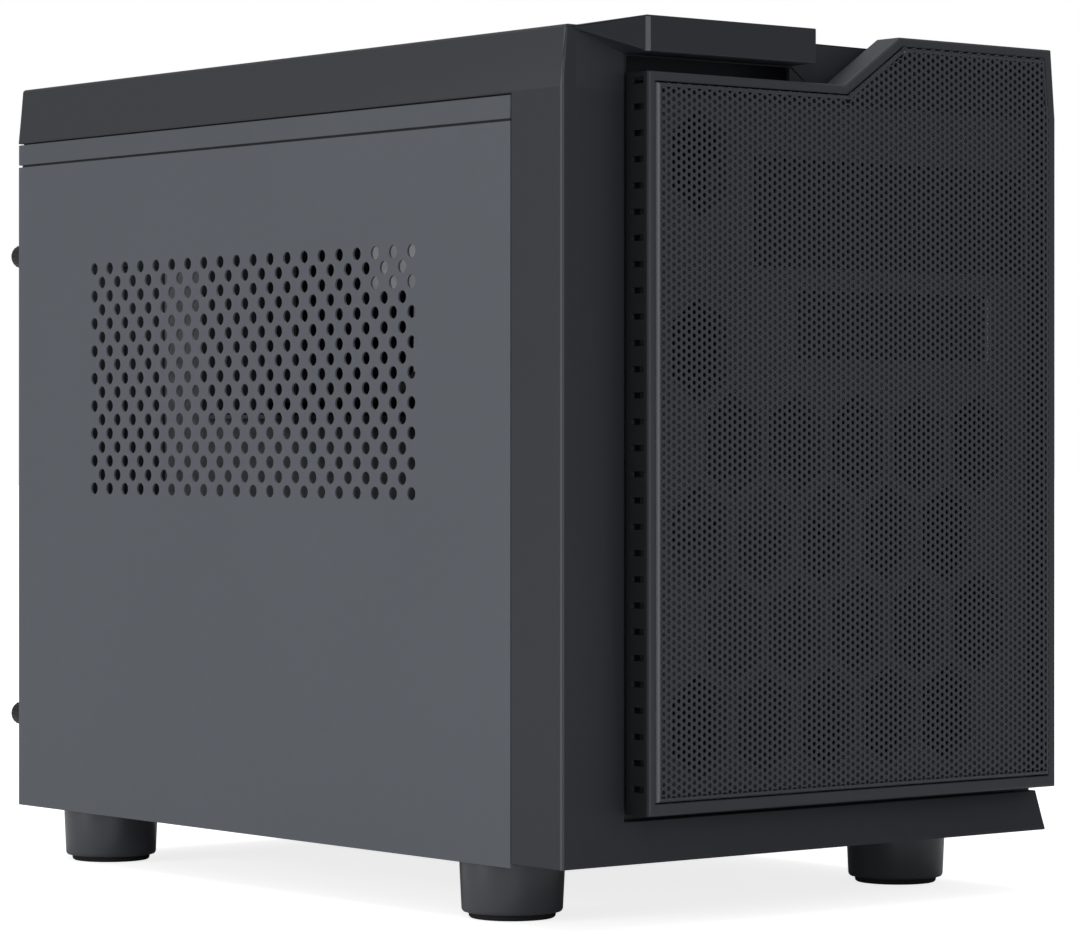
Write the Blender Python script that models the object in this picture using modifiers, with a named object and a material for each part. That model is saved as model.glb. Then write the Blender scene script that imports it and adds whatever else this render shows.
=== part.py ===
"""Micro ATX PC case: a cube-like steel chassis with a moulded front and top shell and a mesh front door.

Lengths are metres and +Z is up. The front looks along -Y, the perforated side panel is at -X.
The origin is the centre of the footprint, on the surface that the feet stand on.

Most sizes are written in the case's own directions: "across" runs from the left side to the right,
"back" runs from the bezel's front edge to the rear, and "up" runs from the side panels' lower edge.
"""

import math

import bmesh
import bpy
from mathutils import Matrix, Vector

# Board that the case is built around, and the room beside it and in front of it
BOARD_SIZE = 0.2440
BOARD_SIDE = 0.0030
BOARD_FROM_FRONT = 0.1128

# Overall sizes
DOOR_PROUD = 0.0070
SCREW_PROUD = 0.0086
FOOT_HEIGHT = 0.0222
SIDE_PANEL_HEIGHT = 0.2757
SHELL_SIDE_TOP = 0.3088
SHELL_CROWN = 0.0012

# Sheet metal, mouldings and clearances
SHEET = 0.0010
BASE_SHEET = 0.0012
SHELL_WALL = 0.0025
SHELL_ROOF = 0.0030
FIT_GAP = 0.0003
SEAM = 0.0008
CUT_PAST = 0.0100

# Front and top shell
BEZEL_DEPTH = 0.0296
BEZEL_LIFT = 0.0016
SHELL_TAPER = 0.0020
SHELL_EDGE = 0.0011
PILLAR_WIDTH = 0.0340
PILLAR_SLOPE = 0.0050
CORNER_LAND = 0.0010
CHIN_HEIGHT = 0.0170
RECESS_DEPTH = 0.0090
PLATE_BACK = 0.0040
PLATE_FROM_DOOR = 0.0022
PILLAR_HOLLOW_BACK = 0.0078

# Honeycomb behind the door
HEX_ACROSS = 0.0324
HEX_ROW = 0.03515
HEX_ZIGZAG = 0.0097
HEX_RIB = 0.0044
HEX_FIRST_ACROSS = 0.0706
HEX_FIRST_UP = 0.2789
BAY_RIM = 0.0045

# Drive bay windows
BAY5_SIZE = (0.1462, 0.0414)
BAY5_FROM_RIGHT = 0.0065
BAY5_UP = 0.2232
BAY3_SIZE = (0.1016, 0.0254)
BAY_SPACING = 0.0088
COVER_RECESS = 0.0020
COVER_DEPTH = 0.0120
COVER_WALL = 0.0018

# Front door
DOOR_LEFT = 0.0360
DOOR_BOTTOM = 0.0193
DOOR_LOW_TOP = 0.2932
DOOR_TOP = 0.3131
NOTCH_START = 0.1350
NOTCH_END = 0.1640
DOOR_RIM_BACK = 0.0008
DOOR_DEPTH = 0.0140
DOOR_WALL = 0.0030
DOOR_FACE = 0.0022
DOOR_EDGE = 0.0009
RIM_LEFT = 0.0034
RIM_RIGHT = 0.0041
RIM_BOTTOM = 0.0045
RIM_TOP = 0.0036
SLOT_COUNT = 28
SLOT_PITCH = 0.00966
SLOT_FIRST = 0.0291
SLOT_HEIGHT = 0.0022
SLOT_FRONT = -0.0034
SLOT_BACK = 0.0038
SLOT_SKIN = 0.0012
MESH_SHEET = 0.0012
MESH_PITCH = 0.0320
MESH_BAR = 0.0050
MESH_MARGIN = 0.0035

# Door hinge
HINGE_FROM_RIGHT = 0.0024
HINGE_BACK = 0.0052
HINGE_UP = (0.0420, 0.2600)
KNUCKLE_RADIUS = 0.0023
KNUCKLE_LENGTH = 0.0080
EAR_HEIGHT = 0.0060
EAR_HALF_WIDTH = 0.0017
EAR_REACH = 0.0022
HINGE_SWEEP = 0.0030
PIN_RADIUS = 0.0010
MAGNET_SIZE = (0.0026, 0.0015, 0.0150)
MAGNET_UP = 0.1500

# Port hood
HOOD_LEFT = 0.0360
HOOD_RIGHT = 0.1200
HOOD_PROUD = 0.0060
HOOD_TOP = 0.3138
HOOD_HEIGHT = 0.0134
HOOD_BACK = 0.0240
HOOD_WALL = 0.0024
PORT_BACK = 0.0060
POWER_ACROSS = 0.0520
POWER_RADIUS = 0.0060
RESET_ACROSS = 0.1125
RESET_RADIUS = 0.0027
BUTTON_TRAVEL = 0.0012
BUTTON_PROUD = 0.0011
BUTTON_FLANGE = 0.0010
USB_ACROSS = (0.0700, 0.0860)
USB_SIZE = (0.0131, 0.0057)
USB_MOUTH = (0.0119, 0.0045)
AUDIO_ACROSS = (0.0970, 0.1050)
AUDIO_RADIUS = 0.0030
AUDIO_BORE = 0.0018
BOARD_THICKNESS = 0.0014

# Side panel and its vent
PANEL_LIP = 0.0090
REAR_LIP = 0.0040
SCREW_TAB = (0.0118, 0.0180)
SCREW_ACROSS = 0.0060
SCREW_UP = (0.0390, 0.2370)
VENT_ROWS = 17
VENT_COLUMNS = 20
VENT_PITCH = 0.0116
VENT_ROW = 0.00576
VENT_BACK = 0.0901
VENT_UP = 0.1372
VENT_HOLE = 0.0050
VENT_SIDES = 4

# Thumbscrews
SCREW_HEAD = 0.0100
SCREW_SHANK = 0.0034
SCREW_LENGTH = 0.0060
SCREW_COLLAR = 0.0016
SCREW_COLLAR_RADIUS = 0.0035
SCREW_END_RADIUS = 0.0043

# Chassis
FLANGE = 0.0120
STRIP_HEIGHT = 0.0087
STRIP_GAP = 0.0003
TRAY_UP = 0.1180
TRAY_FLANGE = 0.0100
STANDOFF_HEIGHT = 0.0065
STANDOFF_RADIUS = (0.0055, 0.0030)
BOARD_HOLE_ACROSS = (0.0290, 0.0750, BOARD_SIZE - 0.0063)
BOARD_HOLE_BACK = (0.0102, 0.1651, BOARD_SIZE - 0.0103)
CPU_OPENING = (0.1000, 0.0950)
CPU_OPENING_AT = (0.1010, 0.1080)
CABLE_OPENING = (0.0500, 0.0240)
CABLE_FROM_BOARD = 0.0200
CABLE_SHARES = (0.2, 0.5, 0.8)
SMALL_HOLE = 0.0021
CLAMP_SCREW = (0.0030, 0.0026)

# Rear panel
IO_SIZE = (0.15875, 0.04445)
IO_FROM_RIGHT = 0.0055
IO_FROM_TRAY = 0.0053
CARD_PITCH = 0.02032
CARD_FROM_IO = 0.01025
CARD_WINDOW = (0.0124, 0.0940)
CARD_FROM_TRAY = 0.0100
CARD_LEDGE = 0.0084
REAR_RECESS = 0.0110
RECESS_SIDE = 0.0043
RECESS_FROM_TOP = 0.0114
PORT_PLATE_SHEET = 0.0008
BRACKET_WIDTH = 0.0184
BRACKET_SHEET = 0.0009
BRACKET_TONGUE = (0.0100, 0.0050)
FAN_SIZE = 0.0920
FAN_DEPTH = 0.0250
FAN_FROM_RIGHT = 0.0850
FAN_FROM_TRAY = 0.1020
FAN_BORE = 0.0880
FAN_HUB = 0.0340
FAN_STRUT = 0.0030
FAN_BLADES = 7
BLADE_THICKNESS = 0.0014
BLADE_TIP_GAP = 0.0015
BLADE_SUNK = 0.0020
BLADE_HALF = (0.0110, 0.0140)
BLADE_SWEEP = 18.0
BLADE_PITCH = (48.0, 28.0)
BLADE_STEPS = 4
FAN_SCREW_SPACING = 0.0825
GRILLE_PITCH = 0.0165
GRILLE_HOLE = 0.0138
PSU_SIZE = (0.1500, 0.0860)
PSU_FROM_RIGHT = 0.0150
PSU_UP = 0.0120
PSU_LEDGE = 0.0055
PSU_HOLES = ((0.006, 0.016), (0.144, 0.016), (0.006, 0.080), (0.120, 0.080))

# Front fan mount, behind the honeycomb
FRONT_FAN_UP = 0.0880
FRONT_FAN_OPENING = 0.1150
FRONT_FAN_SPACING = 0.1050

# Cages and rails
BAY_CAGE_DEPTH = 0.2120
DRIVE_CAGE_LEFT = 0.0140
DRIVE_CAGE_BACK = 0.0550
DRIVE_CAGE_DEPTH = 0.1450
DRIVE_WIDTH = 0.1056
DRIVE_PITCH = 0.0340
DRIVE_COUNT = 2
SLED_HEIGHT = 0.0200
SLED_WALL = 0.0020
SLED_PULL = (0.0060, 0.0300)
SLED_RAIL = 0.0050
CAGE_WINDOW = 0.0300
CAGE_WINDOW_PITCH = 0.0430
CAGE_WINDOW_COUNT = 3
CAGE_EDGE = 0.0120
RAIL_WIDTH = 0.0120
RAIL_DEPTH = 0.1300
RAIL_INSET = 0.0030
BASE_SLOT_COUNT = 9
BASE_SLOT = (0.0060, 0.0800)
BASE_SLOT_PITCH = 0.0130
BASE_SLOT_BACK = 0.2300
CAGE_SLOT = (0.0250, 0.0036)
CAGE_SLOT_BACK = (0.0350, 0.0850)
CAGE_SLOT_UP = (0.0100, 0.0220)

# Top vent and feet
TOP_VENT_LEFT = 0.0400
TOP_VENT_BACK = 0.0850
TOP_VENT_FROM_REAR = 0.0404
TOP_VENT_LEDGE = 0.0060
FILTER_THICKNESS = 0.0016
FILTER_BAR = 0.0080
FILTER_GRID = (4, 6)
TOP_SLOT_DEPTH = 0.0070
TOP_SLOT_RIB = 0.0120
TOP_SLOT_PITCH = 0.0200
TOP_SLOT_INSET = (0.0150, 0.0250)
FOOT_RADIUS = (0.0200, 0.0191)
FOOT_FROM_SIDE = 0.0250
FOOT_FROM_ENDS = (0.0600, 0.0344)
PAD_RADIUS = 0.0165
PAD_THICKNESS = 0.0050
PAD_PROUD = 0.0023

# Sizes that follow from the board and its clearances
WIDTH = round(BOARD_SIZE + 2 * BOARD_SIDE, 6)
SIDE_DEPTH = round(BOARD_FROM_FRONT + BOARD_SIZE + REAR_RECESS + 2 * (SHEET + FIT_GAP), 6)
FULL_DEPTH = DOOR_PROUD + SIDE_DEPTH + SCREW_PROUD
LEFT_X = -WIDTH / 2
FRONT_Y = -FULL_DEPTH / 2 + DOOR_PROUD
BASE_Z = FOOT_HEIGHT

# Levels and planes that several pieces share
CAP_TOP = SIDE_PANEL_HEIGHT + STRIP_GAP + STRIP_HEIGHT
CAP_INSIDE = CAP_TOP - SHEET
SHELL_UP = CAP_TOP + SEAM
PANEL_FRONT = BEZEL_DEPTH + FIT_GAP
FRAME_SIDE = SHEET + FIT_GAP
FRAME_FRONT = PANEL_FRONT + SHEET + FIT_GAP
REAR_OUTSIDE = SIDE_DEPTH - SHEET - FIT_GAP
REAR_INSIDE = REAR_OUTSIDE - SHEET
RECESS_OUTSIDE = REAR_OUTSIDE - REAR_RECESS
RECESS_INSIDE = RECESS_OUTSIDE - SHEET
FRAME_BASE = BASE_SHEET + FIT_GAP
FRAME_TOP = CAP_INSIDE - FIT_GAP
RECESS_TOP = FRAME_TOP - RECESS_FROM_TOP
INNER_SIDE = FRAME_SIDE + SHEET
BEHIND_FRONT = FRAME_FRONT + SHEET + FIT_GAP
DOOR_BACK = DOOR_DEPTH - DOOR_PROUD
HINGE_ACROSS = WIDTH - HINGE_FROM_RIGHT
FLOOR_BACK = RECESS_DEPTH + SHELL_WALL
IO_LEFT = WIDTH - IO_FROM_RIGHT - IO_SIZE[0]
IO_UP = TRAY_UP + IO_FROM_TRAY
CARD_WINDOW_UP = TRAY_UP + CARD_FROM_TRAY
CARD_LEDGE_UP = CARD_WINDOW_UP + CARD_WINDOW[1] + CARD_LEDGE
CARD_FIRST = IO_LEFT - CARD_FROM_IO
CARD_ROOM = CARD_FIRST - BRACKET_WIDTH / 2 - RECESS_SIDE - SHEET
CARD_ACROSS = [CARD_FIRST - CARD_PITCH * n for n in range(int(CARD_ROOM / CARD_PITCH) + 1)]
BAY5_LEFT = WIDTH - BAY5_FROM_RIGHT - BAY5_SIZE[0]
BAY3_LEFT = BAY5_LEFT + (BAY5_SIZE[0] - BAY3_SIZE[0]) / 2
BAY3_UP = BAY5_UP - BAY_SPACING - BAY3_SIZE[1]
PSU_LEFT = WIDTH - PSU_FROM_RIGHT - PSU_SIZE[0]
FAN_ACROSS = WIDTH - FAN_FROM_RIGHT
FAN_UP = TRAY_UP + FAN_FROM_TRAY
TOP_VENT_SIZE = (WIDTH - 2 * TOP_VENT_LEFT, SIDE_DEPTH - TOP_VENT_BACK - TOP_VENT_FROM_REAR)


def collection(name):
    """A new collection in the scene."""
    group = bpy.data.collections.new(name)
    bpy.context.scene.collection.children.link(group)
    return group


for old in list(bpy.data.objects):
    bpy.data.objects.remove(old, do_unlink=True)

PARTS = collection("micro_atx_case")
CUTTERS = collection("cutters")


def finish(name, colour, roughness, metallic=0.0):
    """A plain Principled material."""
    made = bpy.data.materials.new(name)
    made.use_nodes = True
    shader = made.node_tree.nodes["Principled BSDF"]
    shader.inputs["Base Color"].default_value = (*colour, 1.0)
    shader.inputs["Roughness"].default_value = roughness
    shader.inputs["Metallic"].default_value = metallic
    made.diffuse_color = (*colour, 1.0)
    return made


PAINTED_STEEL = ((0.095, 0.106, 0.125), 0.55, 0.0)
CHASSIS_STEEL = ((0.045, 0.047, 0.052), 0.50, 0.0)
DARK_PLASTIC = ((0.045, 0.047, 0.053), 0.50, 0.0)
DOOR_PLASTIC = ((0.030, 0.031, 0.035), 0.45, 0.0)
MESH_STEEL = ((0.042, 0.043, 0.048), 0.50, 0.0)
BRIGHT_STEEL = ((0.55, 0.56, 0.58), 0.35, 1.0)
BLACK_PLASTIC = ((0.015, 0.015, 0.017), 0.50, 0.0)
SOFT_RUBBER = ((0.020, 0.020, 0.022), 0.85, 0.0)


def at(across, back, up):
    """World position of a point given in the case's own directions."""
    return Vector((LEFT_X + across, FRONT_Y + back, BASE_Z + up))


def add_box(bm, across, back, up):
    """A box between the low and high value in each direction."""
    lo = at(across[0], back[0], up[0])
    hi = at(across[1], back[1], up[1])
    size = Matrix.Diagonal((*(hi - lo), 1.0))
    return bmesh.ops.create_cube(bm, size=1.0, matrix=Matrix.Translation((lo + hi) / 2) @ size)["verts"]


TURNS = {"X": Matrix.Rotation(math.pi / 2, 4, "Y"), "Y": Matrix.Rotation(-math.pi / 2, 4, "X"), "Z": Matrix()}


def add_round(bm, centre, radius, length, axis="Z", sides=24, end_radius=None, turn=0.0):
    """A cylinder, prism or cone about its centre; end_radius is at the axis's positive end."""
    spin = Matrix.Rotation(turn, 4, "Z")
    bmesh.ops.create_cone(
        bm, cap_ends=True, segments=sides, radius1=radius,
        radius2=radius if end_radius is None else end_radius, depth=length,
        matrix=Matrix.Translation(at(*centre)) @ TURNS[axis] @ spin)


def mesh_from(name, fill):
    """A mesh that the fill function draws into."""
    bm = bmesh.new()
    fill(bm)
    mesh = bpy.data.meshes.new(name)
    bm.to_mesh(mesh)
    bm.free()
    return mesh


def part_from(name, mesh, look, smooth=False):
    """A sub-part of the case, with its own material."""
    part = bpy.data.objects.new(name, mesh)
    mesh.materials.clear()
    mesh.materials.append(finish(name + "_finish", *look))
    if smooth:
        mesh.shade_smooth()
        mesh.set_sharp_from_angle(angle=math.radians(35))
    PARTS.objects.link(part)
    return part


def part(name, fill, look, smooth=False):
    """A sub-part drawn by the fill function."""
    return part_from(name, mesh_from(name, fill), look, smooth)


def tool_from(name, mesh):
    """A wire-frame object that only cuts or joins."""
    tool = bpy.data.objects.new(name, mesh)
    tool.display_type = "WIRE"
    tool.hide_render = True
    CUTTERS.objects.link(tool)
    return tool


def combine(target, operation, label, mesh):
    """Add an exact Boolean to the target."""
    step = target.modifiers.new(label, "BOOLEAN")
    step.operation = operation
    step.solver = "EXACT"
    step.object = tool_from(target.name + "_" + label, mesh)


def cut(target, label, fill):
    """Cut away what the fill function draws."""
    combine(target, "DIFFERENCE", label, mesh_from(label, fill))


def join(target, label, fill):
    """Join what the fill function draws."""
    combine(target, "UNION", label, mesh_from(label, fill))


def prism(name, outline, back):
    """A flat outline of (across, up) points, made solid between two depths."""
    curve = bpy.data.curves.new(name, "CURVE")
    curve.dimensions = "2D"
    curve.fill_mode = "BOTH"
    curve.extrude = (back[1] - back[0]) / 2
    spline = curve.splines.new("POLY")
    spline.points.add(len(outline) - 1)
    for point, (across, up) in zip(spline.points, outline):
        point.co = (across, up, 0.0, 1.0)
    spline.use_cyclic_u = True
    flat = bpy.data.objects.new(name, curve)
    CUTTERS.objects.link(flat)
    bpy.context.view_layer.update()
    mesh = bpy.data.meshes.new_from_object(flat.evaluated_get(bpy.context.evaluated_depsgraph_get()))
    bpy.data.objects.remove(flat, do_unlink=True)
    bpy.data.curves.remove(curve)
    bm = bmesh.new()
    bm.from_mesh(mesh)
    bmesh.ops.remove_doubles(bm, verts=bm.verts, dist=0.00001)
    bmesh.ops.dissolve_limit(bm, angle_limit=math.radians(1), verts=bm.verts, edges=bm.edges)
    upright = Matrix.Translation(at(0.0, (back[0] + back[1]) / 2, 0.0)) @ Matrix.Rotation(math.pi / 2, 4, "X")
    bmesh.ops.transform(bm, matrix=upright, verts=bm.verts)
    bmesh.ops.recalc_face_normals(bm, faces=bm.faces)
    bm.to_mesh(mesh)
    bm.free()
    return mesh


def bevel_edges(mesh, width, chosen, segments=1):
    """Bevel the edges that the chosen function picks."""
    bm = bmesh.new()
    bm.from_mesh(mesh)
    edges = [edge for edge in bm.edges if chosen(edge)]
    bmesh.ops.bevel(bm, geom=edges, offset=width, segments=segments, profile=0.5, affect="EDGES")
    bm.to_mesh(mesh)
    bm.free()
    return mesh


def on_plane(back):
    """Picks edges that lie in the plane at this depth."""
    level = FRONT_Y + back
    return lambda edge: all(abs(vert.co.y - level) < 0.00001 for vert in edge.verts)


def hexagon(across, up, half_width, half_height, zigzag):
    """Outline of a hexagon with a point at its top and bottom and upright sides."""
    shoulder = half_height - zigzag
    return [(across, up + half_height), (across - half_width, up + shoulder),
            (across - half_width, up - shoulder), (across, up - half_height),
            (across + half_width, up - shoulder), (across + half_width, up + shoulder)]


def add_hexagon(bm, across, up, half_width, half_height, zigzag, back):
    """A hexagonal prism along the depth, from a round one whose corners are drawn out."""
    made = bmesh.ops.create_cone(bm, cap_ends=True, segments=6, radius1=1.0, radius2=1.0, depth=1.0,
                                 matrix=TURNS["Y"])
    shoulder = half_height - zigzag
    for vert in made["verts"]:
        point = abs(vert.co.x) < 0.1
        side = 0.0 if point else math.copysign(half_width, vert.co.x)
        height = math.copysign(half_height if point else shoulder, vert.co.z)
        depth = back[0] if vert.co.y < 0 else back[1]
        vert.co = at(across + side, depth, up + height)


def shell_profile(inset, roof, low):
    """Cross-section of the shell, seen from the front: upright sides, then tapered, then crowned."""
    top = SHELL_SIDE_TOP - roof
    left = inset
    upper = SHELL_TAPER + inset
    centre = (WIDTH / 2, top + SHELL_CROWN)
    half = [(left, low), (left, SHELL_UP), (upper, top - SHELL_EDGE), (upper + SHELL_EDGE, top)]
    other = [(WIDTH - across, up) for across, up in reversed(half)]
    return half + [centre] + other


def door_outline(left, right, bottom, top):
    """Outline of the door, moved inward by a margin on each side."""
    slope = (DOOR_TOP - DOOR_LOW_TOP) / (NOTCH_END - NOTCH_START)
    shift = top * math.tan(math.atan(slope) / 2)
    taper = SHELL_TAPER * (DOOR_TOP - SHELL_UP) / (SHELL_SIDE_TOP - SHELL_UP)
    return [(DOOR_LEFT + left, DOOR_BOTTOM + bottom), (WIDTH - right, DOOR_BOTTOM + bottom),
            (WIDTH - right, SHELL_UP), (WIDTH - right - taper, DOOR_TOP - top),
            (NOTCH_END + shift, DOOR_TOP - top), (NOTCH_START + shift, DOOR_LOW_TOP - top),
            (DOOR_LEFT + left, DOOR_LOW_TOP - top)]


def hinge_ears(grow):
    """Boxes of the bezel's two hinge ears, or with some growth the room that the door leaves them."""
    def fill(bm):
        for up in HINGE_UP:
            add_box(bm, (HINGE_ACROSS - EAR_HALF_WIDTH - grow, HINGE_ACROSS + EAR_HALF_WIDTH + grow),
                    (HINGE_BACK - EAR_REACH, RECESS_DEPTH + FIT_GAP),
                    (up - EAR_HEIGHT / 2 - grow, up + EAR_HEIGHT / 2 + grow))
    return fill


def hinge_bores(radius):
    """The two upright hinge bores, or pins."""
    def fill(bm):
        for up in HINGE_UP:
            add_round(bm, (HINGE_ACROSS, HINGE_BACK, up), radius, EAR_HEIGHT + 2 * KNUCKLE_LENGTH + CUT_PAST,
                      sides=10)
    return fill


def hood_roof(back):
    """Height of the hood's sloping roof at a depth."""
    share = (back + HOOD_PROUD) / (HOOD_BACK + HOOD_PROUD)
    return HOOD_TOP - share * (HOOD_TOP - SHELL_SIDE_TOP - SHELL_CROWN)


def hood_hull(bm):
    """The port hood: a wedge that rises from the shell's corner to a proud front edge."""
    low = HOOD_TOP - HOOD_HEIGHT
    sunk = SHELL_SIDE_TOP - CORNER_LAND
    corner = SHELL_TAPER + SHELL_EDGE + CORNER_LAND
    corners = [(HOOD_LEFT, -HOOD_PROUD, HOOD_TOP), (HOOD_LEFT, -HOOD_PROUD, low),
               (HOOD_RIGHT, -HOOD_PROUD, HOOD_TOP), (HOOD_RIGHT, -HOOD_PROUD, low),
               (corner, CORNER_LAND, sunk), (PILLAR_WIDTH - CORNER_LAND, PILLAR_SLOPE + CORNER_LAND, low),
               (corner, HOOD_BACK, sunk), (HOOD_RIGHT, HOOD_BACK, sunk), (HOOD_RIGHT, HOOD_BACK, low),
               (PILLAR_WIDTH, HOOD_BACK, low)]
    for corner in corners:
        bm.verts.new(at(*corner))
    bmesh.ops.convex_hull(bm, input=bm.verts)


def honeycomb(bm):
    """The open cells behind the door, left out where they would meet a bay window or the plate's edge."""
    half_width = (HEX_ACROSS - HEX_RIB) / 2
    half_height = (HEX_ROW + HEX_ZIGZAG - HEX_RIB) / 2
    windows = [(BAY5_LEFT, BAY5_UP, *BAY5_SIZE), (BAY3_LEFT, BAY3_UP, *BAY3_SIZE)]
    right = WIDTH - BAY5_FROM_RIGHT - BAY_RIM / 2
    for row in range(-1, 8):
        up = HEX_FIRST_UP - HEX_ROW * (row + 0.5)
        start = HEX_FIRST_ACROSS - HEX_ACROSS * (1.5 if row % 2 else 1.0)
        for column in range(8):
            across = start + HEX_ACROSS * column
            top = DOOR_LOW_TOP if across < NOTCH_START + half_width else DOOR_TOP
            if not DOOR_LEFT + DOOR_WALL + half_width + BAY_RIM < across < right - half_width:
                continue
            if not DOOR_BOTTOM + RIM_BOTTOM + half_height < up < top - RIM_TOP - BAY_RIM - half_height / 2:
                continue
            near = [window for window in windows
                    if window[0] - BAY_RIM - half_width < across < window[0] + window[2] + BAY_RIM + half_width
                    and window[1] - BAY_RIM - half_height < up < window[1] + window[3] + BAY_RIM + half_height]
            if not near:
                add_hexagon(bm, across, up, half_width, half_height, HEX_ZIGZAG,
                            (PLATE_BACK - CUT_PAST, FLOOR_BACK + CUT_PAST / 4))


def make_shell():
    """Front bezel, top cover and port hood: one moulding."""
    outer = prism("shell_front", shell_profile(0.0, 0.0, BEZEL_LIFT), (0.0, BEZEL_DEPTH))
    shell = part_from("front_and_top_shell", outer, DARK_PLASTIC)
    cover = prism("shell_cover", shell_profile(0.0, 0.0, SHELL_UP - FIT_GAP), (0.0, SIDE_DEPTH))
    combine(shell, "UNION", "top_cover", cover)

    def front_slopes(bm):
        """The mouth of the door's recess, which slopes back over the pillar and the chin."""
        inner = at(PILLAR_WIDTH, PILLAR_SLOPE, CHIN_HEIGHT)
        outer = at(CORNER_LAND, 0.0, BEZEL_LIFT + CORNER_LAND)
        start = outer + (outer - inner) / 2
        far = at(WIDTH + CUT_PAST, 0.0, DOOR_TOP + CUT_PAST)
        for vert in bmesh.ops.create_cube(bm, size=1.0)["verts"]:
            near = start if vert.co.y < 0 else inner
            vert.co = (near.x if vert.co.x < 0 else far.x, near.y, near.z if vert.co.z < 0 else far.z)

    cut(shell, "front_slopes", front_slopes)
    cut(shell, "recess", lambda bm: add_box(
        bm, (PILLAR_WIDTH, WIDTH + CUT_PAST), (-CUT_PAST, RECESS_DEPTH), (CHIN_HEIGHT, DOOR_TOP + CUT_PAST)))
    join(shell, "hood", hood_hull)
    inside = prism("shell_inside", shell_profile(SHELL_WALL, SHELL_ROOF, BEZEL_LIFT + SHELL_WALL),
                   (FLOOR_BACK, BEZEL_DEPTH + CUT_PAST))
    combine(shell, "DIFFERENCE", "hollow_front", inside)
    under = prism("shell_under", shell_profile(SHELL_WALL, SHELL_ROOF, SHELL_UP - CUT_PAST),
                  (FLOOR_BACK + SHELL_WALL, SIDE_DEPTH - SHELL_WALL))
    combine(shell, "DIFFERENCE", "hollow_top", under)
    cut(shell, "hollow_pillar", lambda bm: add_box(
        bm, (SHELL_WALL + FIT_GAP, PILLAR_WIDTH - SHELL_WALL), (PILLAR_HOLLOW_BACK, BEZEL_DEPTH - SHELL_WALL),
        (BEZEL_LIFT + SHELL_WALL + FIT_GAP, SHELL_UP)))
    cut(shell, "hollow_chin", lambda bm: add_box(
        bm, (PILLAR_WIDTH - 2 * SHELL_WALL, WIDTH - SHELL_WALL - FIT_GAP),
        (PILLAR_HOLLOW_BACK + FIT_GAP, BEZEL_DEPTH - 2 * SHELL_WALL),
        (BEZEL_LIFT + SHELL_WALL + 2 * FIT_GAP, CHIN_HEIGHT - SHELL_WALL)))
    rib_side = SHELL_WALL - FIT_GAP / 2
    join(shell, "cross_rib", lambda bm: add_box(
        bm, (rib_side, WIDTH - rib_side), (HOOD_BACK, HOOD_BACK + SHELL_WALL),
        (SHELL_UP, SHELL_SIDE_TOP - SHELL_ROOF / 2)))
    plate_margin = DOOR_WALL + PLATE_FROM_DOOR
    plate = prism("plate", door_outline(plate_margin, HINGE_FROM_RIGHT + KNUCKLE_RADIUS + 2 * FIT_GAP,
                                        plate_margin, plate_margin),
                  (PLATE_BACK, FLOOR_BACK - FIT_GAP))
    combine(shell, "UNION", "raised_plate", plate)
    cut(shell, "honeycomb", honeycomb)
    cut(shell, "bay_windows", bay_windows)
    join(shell, "hinge_ears", hinge_ears(0.0))
    cut(shell, "hinge_bores", hinge_bores(PIN_RADIUS + FIT_GAP))
    cut(shell, "finger_gap", lambda bm: add_box(
        bm, (HOOD_LEFT + SHELL_WALL, HOOD_RIGHT), (PLATE_BACK - FIT_GAP, FLOOR_BACK + CUT_PAST),
        (DOOR_LOW_TOP + FIT_GAP, HOOD_TOP - HOOD_HEIGHT - FIT_GAP)))
    cut(shell, "hood_inside", lambda bm: add_box(
        bm, (HOOD_LEFT + HOOD_WALL, HOOD_RIGHT - HOOD_WALL), (HOOD_WALL - HOOD_PROUD, FLOOR_BACK + CUT_PAST),
        (HOOD_TOP - HOOD_HEIGHT + HOOD_WALL, hood_ceiling())))
    cut(shell, "port_holes", port_holes)
    cut(shell, "top_vent", lambda bm: add_box(
        bm, (TOP_VENT_LEFT + TOP_VENT_LEDGE, TOP_VENT_LEFT + TOP_VENT_SIZE[0] - TOP_VENT_LEDGE),
        (TOP_VENT_BACK + TOP_VENT_LEDGE, TOP_VENT_BACK + TOP_VENT_SIZE[1] - TOP_VENT_LEDGE),
        (SHELL_UP, SHELL_SIDE_TOP + CUT_PAST)))
    cut(shell, "filter_seat", lambda bm: add_box(
        bm, (TOP_VENT_LEFT, TOP_VENT_LEFT + TOP_VENT_SIZE[0]),
        (TOP_VENT_BACK, TOP_VENT_BACK + TOP_VENT_SIZE[1]),
        (filter_up(), SHELL_SIDE_TOP + CUT_PAST)))


def hood_ceiling():
    """Underside of the hood's roof."""
    return hood_roof(PORT_BACK + POWER_RADIUS) - HOOD_WALL


def filter_up():
    """Height of the ledge that the top filter rests on."""
    return SHELL_SIDE_TOP - FILTER_THICKNESS - FIT_GAP


def bay_windows(bm):
    """Both drive bay windows, right through the plate."""
    for left, up, size in ((BAY5_LEFT, BAY5_UP, BAY5_SIZE), (BAY3_LEFT, BAY3_UP, BAY3_SIZE)):
        add_box(bm, (left, left + size[0]), (-CUT_PAST, FLOOR_BACK + CUT_PAST), (up, up + size[1]))


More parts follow.
